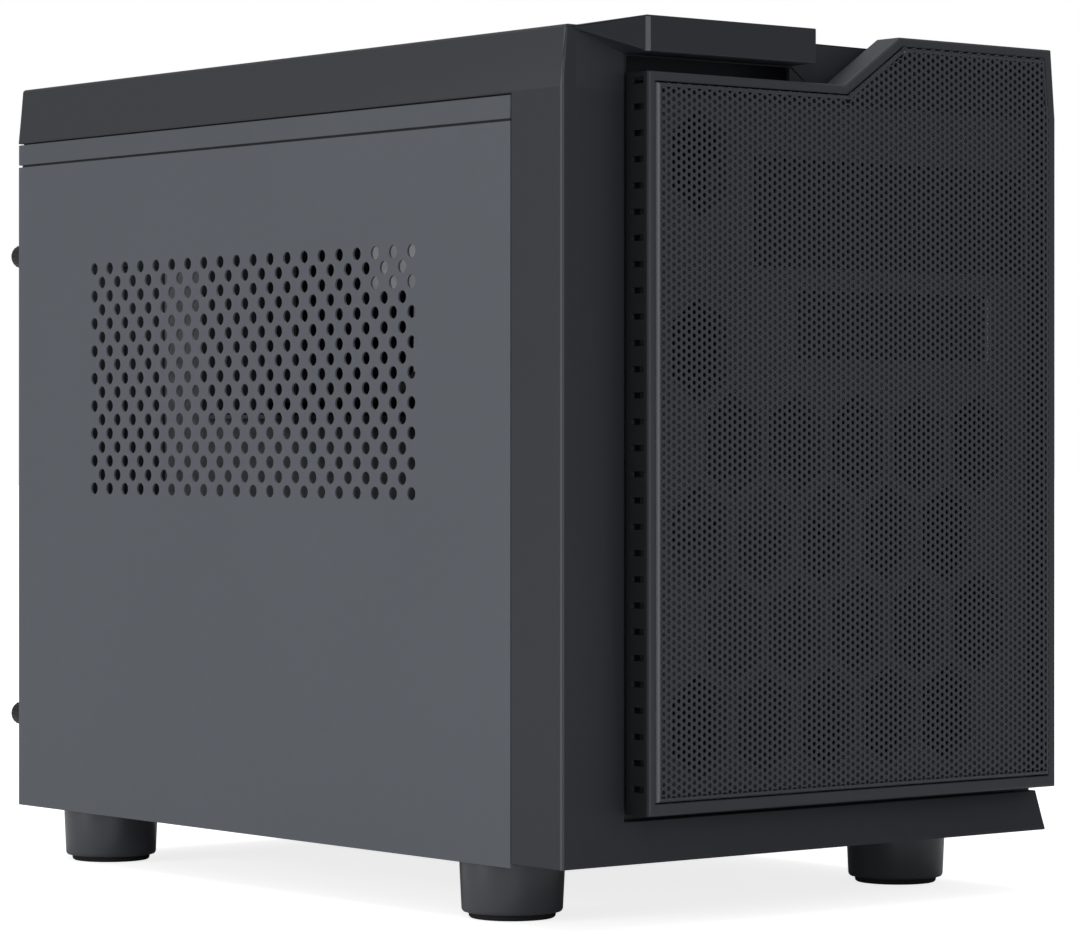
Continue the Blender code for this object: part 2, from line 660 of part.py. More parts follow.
def make_bay_covers():
    """Shallow tray-shaped covers, set back in their windows."""
    for name, left, up, size in (("bay_cover_5in", BAY5_LEFT, BAY5_UP, BAY5_SIZE),
                                 ("bay_cover_3in", BAY3_LEFT, BAY3_UP, BAY3_SIZE)):
        across = (left + FIT_GAP, left + size[0] - FIT_GAP)
        height = (up + FIT_GAP, up + size[1] - FIT_GAP)
        front = PLATE_BACK + COVER_RECESS
        cover = part(name, lambda bm: add_box(bm, across, (front, front + COVER_DEPTH), height), DARK_PLASTIC)
        cut(cover, "inside", lambda bm: add_box(
            bm, (across[0] + COVER_WALL, across[1] - COVER_WALL),
            (front + COVER_WALL, front + CUT_PAST + COVER_DEPTH),
            (height[0] + COVER_WALL, height[1] - COVER_WALL)))


def port_holes(bm):
    """Openings in the hood's roof for the buttons and sockets."""
    up = (hood_ceiling() - HOOD_WALL + HOOD_TOP) / 2
    for across, radius in ((POWER_ACROSS, POWER_RADIUS), (RESET_ACROSS, RESET_RADIUS)):
        add_round(bm, (across, PORT_BACK, up), radius + FIT_GAP, CUT_PAST, sides=20)
    for across in AUDIO_ACROSS:
        add_round(bm, (across, PORT_BACK, up), AUDIO_RADIUS + FIT_GAP, CUT_PAST, sides=14)
    for across in USB_ACROSS:
        add_box(bm, (across - USB_SIZE[0] / 2 - FIT_GAP, across + USB_SIZE[0] / 2 + FIT_GAP),
                (PORT_BACK - USB_SIZE[1] / 2 - FIT_GAP, PORT_BACK + USB_SIZE[1] / 2 + FIT_GAP),
                (up - CUT_PAST / 2, up + CUT_PAST / 2))


def make_ports():
    """Port board, sockets and the two sprung buttons."""
    floor = HOOD_TOP - HOOD_HEIGHT + HOOD_WALL
    board_top = floor + FIT_GAP + BOARD_THICKNESS
    part("port_board", lambda bm: add_box(
        bm, (POWER_ACROSS - POWER_RADIUS, HOOD_RIGHT - HOOD_WALL - FIT_GAP),
        (HOOD_WALL - HOOD_PROUD + FIT_GAP, FLOOR_BACK + SHELL_WALL),
        (floor + FIT_GAP, board_top)), BLACK_PLASTIC)
    low = board_top + FIT_GAP
    for name, across, radius in (("power_button", POWER_ACROSS, POWER_RADIUS),
                                 ("reset_button", RESET_ACROSS, RESET_RADIUS)):
        ceiling = hood_ceiling() - FIT_GAP
        top = hood_roof(PORT_BACK - radius) + BUTTON_PROUD
        cap = part(name, lambda bm: add_round(
            bm, (across, PORT_BACK, (ceiling - BUTTON_FLANGE / 2 + top) / 2), radius,
            top - ceiling + BUTTON_FLANGE / 2, sides=20), DARK_PLASTIC, smooth=True)
        join(cap, "flange", lambda bm: add_round(
            bm, (across, PORT_BACK, ceiling - BUTTON_FLANGE / 2), radius + BUTTON_FLANGE, BUTTON_FLANGE,
            sides=20))
        stem_low = low + BUTTON_TRAVEL
        join(cap, "stem", lambda bm: add_round(
            bm, (across, PORT_BACK, (stem_low + ceiling - BUTTON_FLANGE / 2) / 2), radius / 2,
            ceiling - BUTTON_FLANGE / 2 - stem_low, sides=12))
    for index, across in enumerate(USB_ACROSS):
        top = hood_roof(PORT_BACK)
        socket = part("usb_socket_%d" % (index + 1), lambda bm: add_box(
            bm, (across - USB_SIZE[0] / 2, across + USB_SIZE[0] / 2),
            (PORT_BACK - USB_SIZE[1] / 2, PORT_BACK + USB_SIZE[1] / 2), (low, top)), BRIGHT_STEEL)
        cut(socket, "mouth", lambda bm: add_box(
            bm, (across - USB_MOUTH[0] / 2, across + USB_MOUTH[0] / 2),
            (PORT_BACK - USB_MOUTH[1] / 2, PORT_BACK + USB_MOUTH[1] / 2), (low + SHEET, top + CUT_PAST)))
    for index, across in enumerate(AUDIO_ACROSS):
        top = hood_roof(PORT_BACK)
        socket = part("audio_socket_%d" % (index + 1), lambda bm: add_round(
            bm, (across, PORT_BACK, (low + top) / 2), AUDIO_RADIUS, top - low, sides=14),
            BLACK_PLASTIC, smooth=True)
        cut(socket, "bore", lambda bm: add_round(
            bm, (across, PORT_BACK, top), AUDIO_BORE, 2 * (top - low - BOARD_THICKNESS), sides=10))


def slot_boxes(bm):
    """The row of air slots in the door's left side wall."""
    for index in range(SLOT_COUNT):
        up = SLOT_FIRST + SLOT_PITCH * index
        height = (up - SLOT_HEIGHT / 2, up + SLOT_HEIGHT / 2)
        add_box(bm, (DOOR_LEFT - CUT_PAST, DOOR_LEFT + 2 * SLOT_SKIN), (SLOT_FRONT, SLOT_BACK), height)


def make_door():
    """Door frame with its slotted left wall, and the perforated sheet in its window."""
    rim = -DOOR_PROUD + DOOR_RIM_BACK
    outer = prism("door_outer", door_outline(0.0, 0.0, 0.0, 0.0), (rim, DOOR_BACK))
    frame = part_from("door_frame", bevel_edges(outer, DOOR_EDGE, on_plane(rim)), DOOR_PLASTIC)
    hollow = prism("door_hollow", door_outline(DOOR_WALL, DOOR_WALL, DOOR_WALL, DOOR_WALL),
                   (rim + DOOR_FACE, DOOR_BACK + CUT_PAST))
    combine(frame, "DIFFERENCE", "hollow", hollow)
    window = prism("door_window", door_outline(RIM_LEFT, RIM_RIGHT, RIM_BOTTOM, RIM_TOP),
                   (rim - CUT_PAST, rim + DOOR_FACE + FIT_GAP))
    combine(frame, "DIFFERENCE", "window", window)
    slots_end = SLOT_FIRST + SLOT_PITCH * (SLOT_COUNT - 1) + SLOT_HEIGHT
    cut(frame, "slot_relief", lambda bm: add_box(
        bm, (DOOR_LEFT + SLOT_SKIN, DOOR_LEFT + DOOR_WALL + FIT_GAP),
        (SLOT_FRONT - FIT_GAP, SLOT_BACK + SLOT_SKIN), (SLOT_FIRST - SLOT_HEIGHT, slots_end)))
    cut(frame, "slots", slot_boxes)

    def knuckles(bm):
        for up in HINGE_UP:
            add_round(bm, (HINGE_ACROSS, HINGE_BACK, up), KNUCKLE_RADIUS, EAR_HEIGHT + 2 * KNUCKLE_LENGTH,
                      sides=12)

    def ear_room(bm):
        for up in HINGE_UP:
            add_box(bm, (HINGE_ACROSS - HINGE_SWEEP, WIDTH + CUT_PAST),
                    (HINGE_BACK - HINGE_SWEEP, DOOR_BACK + CUT_PAST),
                    (up - EAR_HEIGHT / 2 - FIT_GAP, up + EAR_HEIGHT / 2 + FIT_GAP))

    join(frame, "knuckles", knuckles)
    cut(frame, "ear_room", ear_room)
    cut(frame, "bores", hinge_bores(PIN_RADIUS + FIT_GAP))
    margins = [margin + FIT_GAP for margin in (RIM_LEFT, RIM_RIGHT, RIM_BOTTOM, RIM_TOP)]
    sheet = prism("mesh_outer", door_outline(*margins), (-DOOR_PROUD, rim + DOOR_FACE))
    mesh = part_from("door_mesh", bevel_edges(sheet, DOOR_RIM_BACK / 2, on_plane(-DOOR_PROUD)), MESH_STEEL)
    behind = prism("mesh_behind", door_outline(*[margin + MESH_SHEET for margin in margins]),
                   (-DOOR_PROUD + MESH_SHEET, rim + DOOR_FACE + CUT_PAST))
    combine(mesh, "DIFFERENCE", "pressed_back", behind)
    cut(mesh, "gaps", mesh_gaps)
    for name, up in zip(("door_pin_lower", "door_pin_upper"), HINGE_UP):
        part(name, lambda bm: add_round(
            bm, (HINGE_ACROSS, HINGE_BACK, up), PIN_RADIUS, EAR_HEIGHT + 2 * KNUCKLE_LENGTH, sides=10),
            BRIGHT_STEEL, smooth=True)
    back = (RECESS_DEPTH - FIT_GAP - MAGNET_SIZE[1], RECESS_DEPTH - FIT_GAP)
    left = DOOR_LEFT + (DOOR_WALL - MAGNET_SIZE[0]) / 2
    part("door_magnet", lambda bm: add_box(
        bm, (left, left + MAGNET_SIZE[0]), back, (MAGNET_UP, MAGNET_UP + MAGNET_SIZE[2])), BRIGHT_STEEL)


def mesh_gaps(bm):
    """Close-packed hexagonal gaps: a coarse form of the real sheet's fine perforation."""
    half = (MESH_PITCH - MESH_BAR) / 2
    corner = half / math.cos(math.radians(30))
    row = MESH_PITCH * math.sqrt(3) / 2
    left = DOOR_LEFT + RIM_LEFT + MESH_MARGIN + half
    right = WIDTH - RIM_RIGHT - MESH_MARGIN - half
    low = DOOR_BOTTOM + RIM_BOTTOM + MESH_MARGIN + corner
    rows = int((DOOR_TOP - RIM_TOP - MESH_MARGIN - corner - low) / row) + 1
    for index in range(rows):
        up = low + row * index
        start = left + (half + MESH_BAR / 2 if index % 2 else 0.0)
        columns = int((right - start) / MESH_PITCH + 0.001) + 1
        for column in range(columns):
            across = start + MESH_PITCH * column
            high = DOOR_TOP if across - corner > NOTCH_END else DOOR_LOW_TOP
            if up + corner < high - RIM_TOP - MESH_MARGIN:
                add_round(bm, (across, -DOOR_PROUD, up), corner, CUT_PAST, "Y", sides=6, turn=math.radians(30))


def side_panel(name, mirror):
    """A folded side panel; mirror gives the plain right one."""
    def pair(low, high):
        return (WIDTH - high, WIDTH - low) if mirror else (low, high)

    panel = part(name, lambda bm: add_box(
        bm, pair(0.0, PANEL_LIP), (PANEL_FRONT, SIDE_DEPTH), (0.0, SIDE_PANEL_HEIGHT)), PAINTED_STEEL)
    cut(panel, "inside", lambda bm: add_box(
        bm, pair(SHEET, PANEL_LIP + CUT_PAST), (PANEL_FRONT + SHEET, SIDE_DEPTH - SHEET),
        (-CUT_PAST, SIDE_PANEL_HEIGHT + CUT_PAST)))
    cut(panel, "rear_lip", lambda bm: add_box(
        bm, pair(REAR_LIP, PANEL_LIP + CUT_PAST), (SIDE_DEPTH - SHEET - FIT_GAP, SIDE_DEPTH + CUT_PAST),
        (-CUT_PAST, SIDE_PANEL_HEIGHT + CUT_PAST)))

    def tabs(bm):
        for up in SCREW_UP:
            add_box(bm, pair(REAR_LIP - SHEET, SCREW_TAB[0]), (SIDE_DEPTH - SHEET, SIDE_DEPTH),
                    (up - SCREW_TAB[1] / 2, up + SCREW_TAB[1] / 2))

    join(panel, "tabs", tabs)
    cut(panel, "screw_holes", lambda bm: screw_holes(bm, pair))
    if not mirror:
        cut(panel, "vent", side_vent)


def screw_holes(bm, pair):
    """Clearance holes for the thumbscrews of one side."""
    across = sum(pair(SCREW_ACROSS, SCREW_ACROSS)) / 2
    for up in SCREW_UP:
        add_round(bm, (across, SIDE_DEPTH, up), SCREW_SHANK / 2 + FIT_GAP, CUT_PAST, "Y", sides=8)


def side_vent(bm):
    """Seventeen staggered rows of punched holes."""
    for row in range(VENT_ROWS):
        odd = row % 2
        for column in range(VENT_COLUMNS - odd):
            back = VENT_BACK + VENT_PITCH * (column + odd / 2)
            add_round(bm, (0.0, back, VENT_UP + VENT_ROW * row), VENT_HOLE / 2, CUT_PAST, "X",
                      sides=VENT_SIDES)


def make_thumbscrews():
    """Four captive thumbscrews at the rear corners."""
    for side in ("left", "right"):
        for level, up in zip(("lower", "upper"), SCREW_UP):
            across = SCREW_ACROSS if side == "left" else WIDTH - SCREW_ACROSS
            start = SIDE_DEPTH + FIT_GAP
            middle = (start + SCREW_COLLAR + SIDE_DEPTH + SCREW_PROUD) / 2
            radius = SCREW_HEAD / 2
            screw = part("thumbscrew_%s_%s" % (side, level), lambda bm: add_round(
                bm, (across, middle, up), radius, SCREW_PROUD - FIT_GAP - SCREW_COLLAR, "Y", 16,
                end_radius=SCREW_END_RADIUS), BLACK_PLASTIC, smooth=True)
            join(screw, "collar", lambda bm: add_round(
                bm, (across, start + SCREW_COLLAR, up), SCREW_COLLAR_RADIUS, 2 * SCREW_COLLAR, "Y", sides=8))
            join(screw, "shank", lambda bm: add_round(
                bm, (across, start + SCREW_COLLAR - SCREW_LENGTH / 2, up), SCREW_SHANK / 2, SCREW_LENGTH, "Y",
                sides=8))


def make_base():
    """Base pan with upturned side flanges and cooling slots."""
    across = (FRAME_SIDE, WIDTH - FRAME_SIDE)
    back = (FRAME_FRONT, REAR_OUTSIDE)
    pan = part("base_pan", lambda bm: add_box(bm, across, back, (0.0, BASE_SHEET)), CHASSIS_STEEL)

    def flanges(bm):
        for low in (across[0], across[1] - SHEET):
            add_box(bm, (low, low + SHEET), (BEHIND_FRONT, REAR_INSIDE - FIT_GAP), (0.0, FLANGE))

    def slots(bm):
        first = PSU_LEFT + (PSU_SIZE[0] - BASE_SLOT_PITCH * (BASE_SLOT_COUNT - 1) - BASE_SLOT[0]) / 2
        for index in range(BASE_SLOT_COUNT):
            left = first + BASE_SLOT_PITCH * index
            add_box(bm, (left, left + BASE_SLOT[0]), (BASE_SLOT_BACK, BASE_SLOT_BACK + BASE_SLOT[1]),
                    (-CUT_PAST, BASE_SHEET + FIT_GAP))

    join(pan, "flanges", flanges)
    cut(pan, "slots", slots)


def frame_plate(name, back, turn):
    """A chassis end plate with two side flanges that turn inward from it."""
    across = (FRAME_SIDE, WIDTH - FRAME_SIDE)
    plate = part(name, lambda bm: add_box(bm, across, back, (FRAME_BASE, FRAME_TOP)), CHASSIS_STEEL)
    reach = (back[0], back[1] + FLANGE) if turn > 0 else (back[0] - FLANGE, back[1])

    def flanges(bm):
        for low in (across[0], across[1] - SHEET):
            add_box(bm, (low, low + SHEET), reach, (FLANGE + 2 * FIT_GAP, SIDE_PANEL_HEIGHT - 2 * SHEET))

    join(plate, "flanges", flanges)
    return plate


def make_front_frame():
    """Steel front of the chassis, behind the moulded bezel."""
    plate = frame_plate("front_frame", (FRAME_FRONT, FRAME_FRONT + SHEET), 1)

    def openings(bm):
        for left, up, size in ((BAY5_LEFT, BAY5_UP, BAY5_SIZE), (BAY3_LEFT, BAY3_UP, BAY3_SIZE)):
            add_box(bm, (left, left + size[0]), (0.0, FRAME_FRONT + CUT_PAST), (up, up + size[1]))

    cut(plate, "bays", openings)
    cut(plate, "fan_opening", lambda bm: add_round(
        bm, (WIDTH / 2, FRAME_FRONT, FRONT_FAN_UP), FRONT_FAN_OPENING / 2, CUT_PAST, "Y", sides=24))

    def fan_screws(bm):
        for across in (-FRONT_FAN_SPACING / 2, FRONT_FAN_SPACING / 2):
            for up in (-FRONT_FAN_SPACING / 2, FRONT_FAN_SPACING / 2):
                add_round(bm, (WIDTH / 2 + across, FRAME_FRONT, FRONT_FAN_UP + up), SMALL_HOLE, CUT_PAST, "Y",
                          sides=6)

    cut(plate, "fan_screws", fan_screws)


def grille_holes(bm):
    """Hexagonal punched holes that fill the rear fan's circle."""
    row_step = GRILLE_PITCH * math.sqrt(3) / 2
    reach = int(FAN_BORE / 2 / row_step) + 1
    for row in range(-reach, reach + 1):
        for column in range(-reach, reach + 1):
            across = GRILLE_PITCH * (column + (row % 2) / 2)
            up = row_step * row
            if math.hypot(across, up) < (FAN_BORE - GRILLE_HOLE) / 2:
                add_round(bm, (FAN_ACROSS + across, RECESS_INSIDE, FAN_UP + up), GRILLE_HOLE / 2, CUT_PAST,
                          "Y", sides=6, turn=math.radians(30))


def fan_screw_holes(bm):
    """Four corner holes for the rear fan's screws."""
    for across in (-FAN_SCREW_SPACING / 2, FAN_SCREW_SPACING / 2):
        for up in (-FAN_SCREW_SPACING / 2, FAN_SCREW_SPACING / 2):
            add_round(bm, (FAN_ACROSS + across, RECESS_INSIDE, FAN_UP + up), SMALL_HOLE, CUT_PAST, "Y",
                      sides=6)


def card_span():
    """Left and right ends of the row of card brackets."""
    return CARD_ACROSS[-1] - BRACKET_WIDTH / 2, CARD_ACROSS[0] + BRACKET_WIDTH / 2


def make_rear_panel():
    """Rear wall: a recess with port opening, card windows and fan grille, over the power supply opening."""
    wall = frame_plate("rear_panel", (REAR_INSIDE, REAR_OUTSIDE), -1)
    low = TRAY_UP + FIT_GAP
    left, right = card_span()
    join(wall, "recess_box", lambda bm: add_box(
        bm, (RECESS_SIDE, WIDTH - RECESS_SIDE), (RECESS_INSIDE, REAR_OUTSIDE), (low, RECESS_TOP)))
    cut(wall, "recess", lambda bm: add_box(
        bm, (RECESS_SIDE + SHEET, WIDTH - RECESS_SIDE - SHEET), (RECESS_OUTSIDE, REAR_OUTSIDE + CUT_PAST),
        (low + SHEET, RECESS_TOP - SHEET)))
    join(wall, "card_ledge", lambda bm: add_box(
        bm, (left, right), (RECESS_OUTSIDE - SHEET / 2, REAR_INSIDE), (CARD_LEDGE_UP, CARD_LEDGE_UP + SHEET)))

    def openings(bm):
        through = (RECESS_INSIDE - FIT_GAP, RECESS_OUTSIDE + FIT_GAP)
        add_box(bm, (IO_LEFT, IO_LEFT + IO_SIZE[0]), through, (IO_UP, IO_UP + IO_SIZE[1]))
        add_box(bm, (left, right), through,
                (CARD_LEDGE_UP + SHEET + FIT_GAP / 2, CARD_LEDGE_UP + 2 * SHEET + 2 * FIT_GAP))
        for across in CARD_ACROSS:
            add_box(bm, (across - CARD_WINDOW[0] / 2, across + CARD_WINDOW[0] / 2), through,
                    (CARD_WINDOW_UP, CARD_WINDOW_UP + CARD_WINDOW[1]))

    cut(wall, "openings", openings)
    cut(wall, "grille", grille_holes)
    cut(wall, "fan_screws", fan_screw_holes)
    corner = 2 * PSU_LEDGE
    x0, x1 = PSU_LEFT + PSU_LEDGE, PSU_LEFT + PSU_SIZE[0] - PSU_LEDGE
    z0, z1 = PSU_UP + PSU_LEDGE, PSU_UP + PSU_SIZE[1] - PSU_LEDGE
    outline = [(x0, z0 + corner), (x0 + corner, z0), (x1 - corner, z0), (x1, z0 + corner),
               (x1, z1), (x1 - 3 * corner, z1), (x0 + corner, z1), (x0, z1 - corner)]
    combine(wall, "DIFFERENCE", "psu_opening",
            prism("psu_cut", outline, (REAR_INSIDE - CUT_PAST / 2, REAR_OUTSIDE + CUT_PAST)))

    def screws(bm):
        for across, up in PSU_HOLES:
            add_round(bm, (PSU_LEFT + across, REAR_INSIDE, PSU_UP + up), SMALL_HOLE, CUT_PAST, "Y", sides=6)

    cut(wall, "psu_screws", screws)

    def corner_holes(bm):
        for across in (SCREW_ACROSS, WIDTH - SCREW_ACROSS):
            for up in SCREW_UP:
                add_round(bm, (across, REAR_INSIDE, up), SCREW_SHANK / 2 + FIT_GAP, CUT_PAST, "Y", sides=8)

    cut(wall, "thumbscrew_holes", corner_holes)


def make_port_plate():
    """Pressed plate that snaps into the port opening from inside and closes it."""
    front = RECESS_INSIDE - FIT_GAP - PORT_PLATE_SHEET

    def pressed(margin, back):
        return lambda bm: add_box(
            bm, (IO_LEFT + margin, IO_LEFT + IO_SIZE[0] - margin), back,
            (IO_UP + margin, IO_UP + IO_SIZE[1] - margin))

    flange = pressed(-PORT_PLATE_SHEET, (front, RECESS_INSIDE - FIT_GAP))
    plate = part("port_cover_plate", flange, CHASSIS_STEEL)
    join(plate, "raised", pressed(FIT_GAP, (front + FIT_GAP, RECESS_OUTSIDE + FIT_GAP)))
    cut(plate, "inside", pressed(FIT_GAP + PORT_PLATE_SHEET,
                                 (front - CUT_PAST, RECESS_OUTSIDE + FIT_GAP - PORT_PLATE_SHEET)))


def make_slot_covers():
    """Four expansion slot covers whose tabs rest on the outer ledge, and the bar that clamps them."""
    back = (RECESS_INSIDE - FIT_GAP - BRACKET_SHEET, RECESS_INSIDE - FIT_GAP)
    tab_up = CARD_LEDGE_UP + SHEET + FIT_GAP
    tab_end = REAR_INSIDE - FIT_GAP
    half = (BRACKET_WIDTH - FIT_GAP) / 2
    for index, across in enumerate(CARD_ACROSS):
        cover = part("slot_cover_%d" % (index + 1), lambda bm: add_box(
            bm, (across - half, across + half), back,
            (TRAY_UP + 2 * FIT_GAP, tab_up + BRACKET_SHEET)), CHASSIS_STEEL)
        join(cover, "tab", lambda bm: add_box(
            bm, (across - half + SHEET, across + half - SHEET), (back[0], tab_end),
            (tab_up, tab_up + BRACKET_SHEET)))
        join(cover, "tongue", lambda bm: add_box(
            bm, (across - BRACKET_TONGUE[0] / 2, across + BRACKET_TONGUE[0] / 2), back,
            (TRAY_UP - BRACKET_TONGUE[1], TRAY_UP + SHEET)))
    bar_up = tab_up + BRACKET_SHEET + FIT_GAP
    bar_back = (RECESS_OUTSIDE + FIT_GAP, tab_end)
    bar = part("slot_clamp_bar", lambda bm: add_box(bm, card_span(), bar_back, (bar_up, bar_up + SHEET)),
               CHASSIS_STEEL)

    def heads(bm):
        for across in CARD_ACROSS:
            add_round(bm, (across, sum(bar_back) / 2, bar_up + SHEET / 2 + CLAMP_SCREW[1] / 2),
                      CLAMP_SCREW[0], CLAMP_SCREW[1], sides=8)

    join(bar, "screw_heads", heads)


def make_tray():
    """Horizontal motherboard tray with pressed standoffs, cable openings and a notch for the card brackets."""
    across = (INNER_SIDE + FIT_GAP, WIDTH - INNER_SIDE - FIT_GAP)
    back = (BEHIND_FRONT, REAR_INSIDE - FIT_GAP)
    tray = part("motherboard_tray", lambda bm: add_box(
        bm, across, back, (TRAY_UP - SHEET, TRAY_UP)), CHASSIS_STEEL)

    def flanges(bm):
        for low in (across[0], across[1] - SHEET):
            add_box(bm, (low, low + SHEET), back, (TRAY_UP - TRAY_FLANGE, TRAY_UP))

    board_left = IO_LEFT + IO_SIZE[0] - BOARD_SIZE
    board_front = RECESS_INSIDE - FIT_GAP - BOARD_SIZE

    def standoffs(bm):
        for hole_across in BOARD_HOLE_ACROSS:
            for hole_back in BOARD_HOLE_BACK:
                spot = (board_left + hole_across, board_front + BOARD_SIZE - hole_back,
                        TRAY_UP - SHEET / 2 + STANDOFF_HEIGHT / 2)
                add_round(bm, spot, STANDOFF_RADIUS[0], STANDOFF_HEIGHT + SHEET / 2, sides=8,
                          end_radius=STANDOFF_RADIUS[1])

    through = (TRAY_UP - 2 * SHEET, TRAY_UP + SHEET)
    left, right = card_span()
    join(tray, "flanges", flanges)
    join(tray, "standoffs", standoffs)
    cut(tray, "bracket_notch", lambda bm: add_box(
        bm, (left - SHEET, right + SHEET), (RECESS_INSIDE - 3 * SHEET, REAR_OUTSIDE), through))

    def openings(bm):
        cpu_left = board_left + CPU_OPENING_AT[0]
        cpu_back = board_front + CPU_OPENING_AT[1]
        add_box(bm, (cpu_left, cpu_left + CPU_OPENING[0]), (cpu_back, cpu_back + CPU_OPENING[1]), through)
        for share in CABLE_SHARES:
            middle = across[0] + share * (across[1] - across[0])
            add_box(bm, (middle - CABLE_OPENING[0] / 2, middle + CABLE_OPENING[0] / 2),
                    (board_front - CABLE_FROM_BOARD - CABLE_OPENING[1], board_front - CABLE_FROM_BOARD),
                    through)

    cut(tray, "openings", openings)


def make_bay_cage():
    """Steel cage for one 5.25 inch and one 3.5 inch device, hung from the top panel."""
    back = (BEHIND_FRONT, BEHIND_FRONT + BAY_CAGE_DEPTH)
    shelf = (BAY5_UP - 2 * SHEET, BAY5_UP - SHEET)
    right5 = BAY5_LEFT + BAY5_SIZE[0]
    right3 = BAY3_LEFT + BAY3_SIZE[0]
    cage = part("bay_cage", lambda bm: add_box(
        bm, (BAY5_LEFT - SHEET / 2, right5 + SHEET / 2), back, shelf), CHASSIS_STEEL)

    def upper_walls(bm):
        for left in (BAY5_LEFT - SHEET, right5):
            add_box(bm, (left, left + SHEET), back, (shelf[0] - FIT_GAP, FRAME_TOP))

    def lower_walls(bm):
        for left in (BAY3_LEFT - SHEET, right3):
            add_box(bm, (left, left + SHEET), back, (BAY3_UP - 2 * SHEET - FIT_GAP, shelf[1] - SHEET / 2))

    def lower_lips(bm):
        for ends in ((BAY3_LEFT - SHEET / 2, BAY3_LEFT + FLANGE), (right3 - FLANGE, right3 + SHEET / 2)):
            add_box(bm, ends, back, (BAY3_UP - 2 * SHEET, BAY3_UP - SHEET))

    def screw_slots(bm):
        for start in CAGE_SLOT_BACK:
            for up in CAGE_SLOT_UP:
                near = back[0] + start
                level = BAY5_UP + up
                for left in (BAY5_LEFT - 2 * SHEET, right5 - SHEET):
                    add_box(bm, (left, left + 3 * SHEET), (near, near + CAGE_SLOT[0]),
                            (level, level + CAGE_SLOT[1]))

    join(cage, "upper_walls", upper_walls)
    join(cage, "lower_walls", lower_walls)
    join(cage, "lower_lips", lower_lips)
    cut(cage, "screw_slots", screw_slots)


def make_drive_cage():
    """Open-sided cage on the base for two 3.5 inch drives on sleds."""
    left = DRIVE_CAGE_LEFT
    right = left + DRIVE_WIDTH + 2 * SHEET + 2 * FIT_GAP
    back = (DRIVE_CAGE_BACK, DRIVE_CAGE_BACK + DRIVE_CAGE_DEPTH)
    up = (FRAME_BASE, FRAME_BASE + DRIVE_PITCH * DRIVE_COUNT + SLED_RAIL + SHEET)
    cage = part("drive_cage", lambda bm: add_box(bm, (left, right), back, up), CHASSIS_STEEL)
    cut(cage, "inside", lambda bm: add_box(
        bm, (left + SHEET, right - SHEET), (back[0] - CUT_PAST, back[1] + CUT_PAST),
        (up[0] + SHEET, up[1] - SHEET)))

    def windows(bm):
        first = back[0] + (DRIVE_CAGE_DEPTH - CAGE_WINDOW_PITCH * (CAGE_WINDOW_COUNT - 1) - CAGE_WINDOW) / 2
        for index in range(CAGE_WINDOW_COUNT):
            start = first + CAGE_WINDOW_PITCH * index
            add_box(bm, (left - CUT_PAST, right + CUT_PAST), (start, start + CAGE_WINDOW),
                    (up[0] + CAGE_EDGE, up[1] - CAGE_EDGE))

    cut(cage, "windows", windows)

    def rails(bm):
        for index in range(DRIVE_COUNT):
            level = up[0] + SHEET + DRIVE_PITCH * index + SLED_RAIL
            for low in (left, right - SLED_RAIL):
                add_box(bm, (low, low + SLED_RAIL), back, (level - SHEET, level))

    join(cage, "rails", rails)
    for index in range(DRIVE_COUNT):
        level = up[0] + SHEET + DRIVE_PITCH * index + SLED_RAIL + FIT_GAP
        across = (left + SHEET + FIT_GAP, right - SHEET - FIT_GAP)
        sled = part("drive_sled_%d" % (index + 1), lambda bm: add_box(
            bm, across, (back[0] + SHEET, back[1] - SHEET), (level, level + SLED_HEIGHT)), BLACK_PLASTIC)
        cut(sled, "inside", lambda bm: add_box(
            bm, (across[0] + SLED_WALL, across[1] - SLED_WALL),
            (back[0] + SHEET + SLED_WALL, back[1] + CUT_PAST),
            (level + SLED_WALL, level + SLED_HEIGHT + CUT_PAST)))
        middle = level + SLED_HEIGHT / 2
        cut(sled, "pull_opening", lambda bm: add_box(
            bm, (across[0] + SLED_PULL[1], across[1] - SLED_PULL[1]),
            (back[0] - CUT_PAST, back[0] + SHEET + 2 * SLED_WALL),
            (middle - SLED_PULL[0] / 2, middle + SLED_PULL[0] / 2)))


def make_psu_rails():
    """Two rails on the base that the power supply rests on."""
    for name, left in (("psu_rail_left", PSU_LEFT + RAIL_INSET),
                       ("psu_rail_right", PSU_LEFT + PSU_SIZE[0] - RAIL_WIDTH - RAIL_INSET)):
        back = (REAR_INSIDE - FIT_GAP - RAIL_DEPTH, REAR_INSIDE - FIT_GAP)
        rail = part(name, lambda bm: add_box(
            bm, (left, left + RAIL_WIDTH), back, (FRAME_BASE, PSU_UP - FIT_GAP)), CHASSIS_STEEL)
        cut(rail, "channel", lambda bm: add_box(
            bm, (left + SHEET, left + RAIL_WIDTH - SHEET), (back[0] - CUT_PAST, back[1] + CUT_PAST),
            (FRAME_BASE - CUT_PAST, PSU_UP - FIT_GAP - SHEET)))


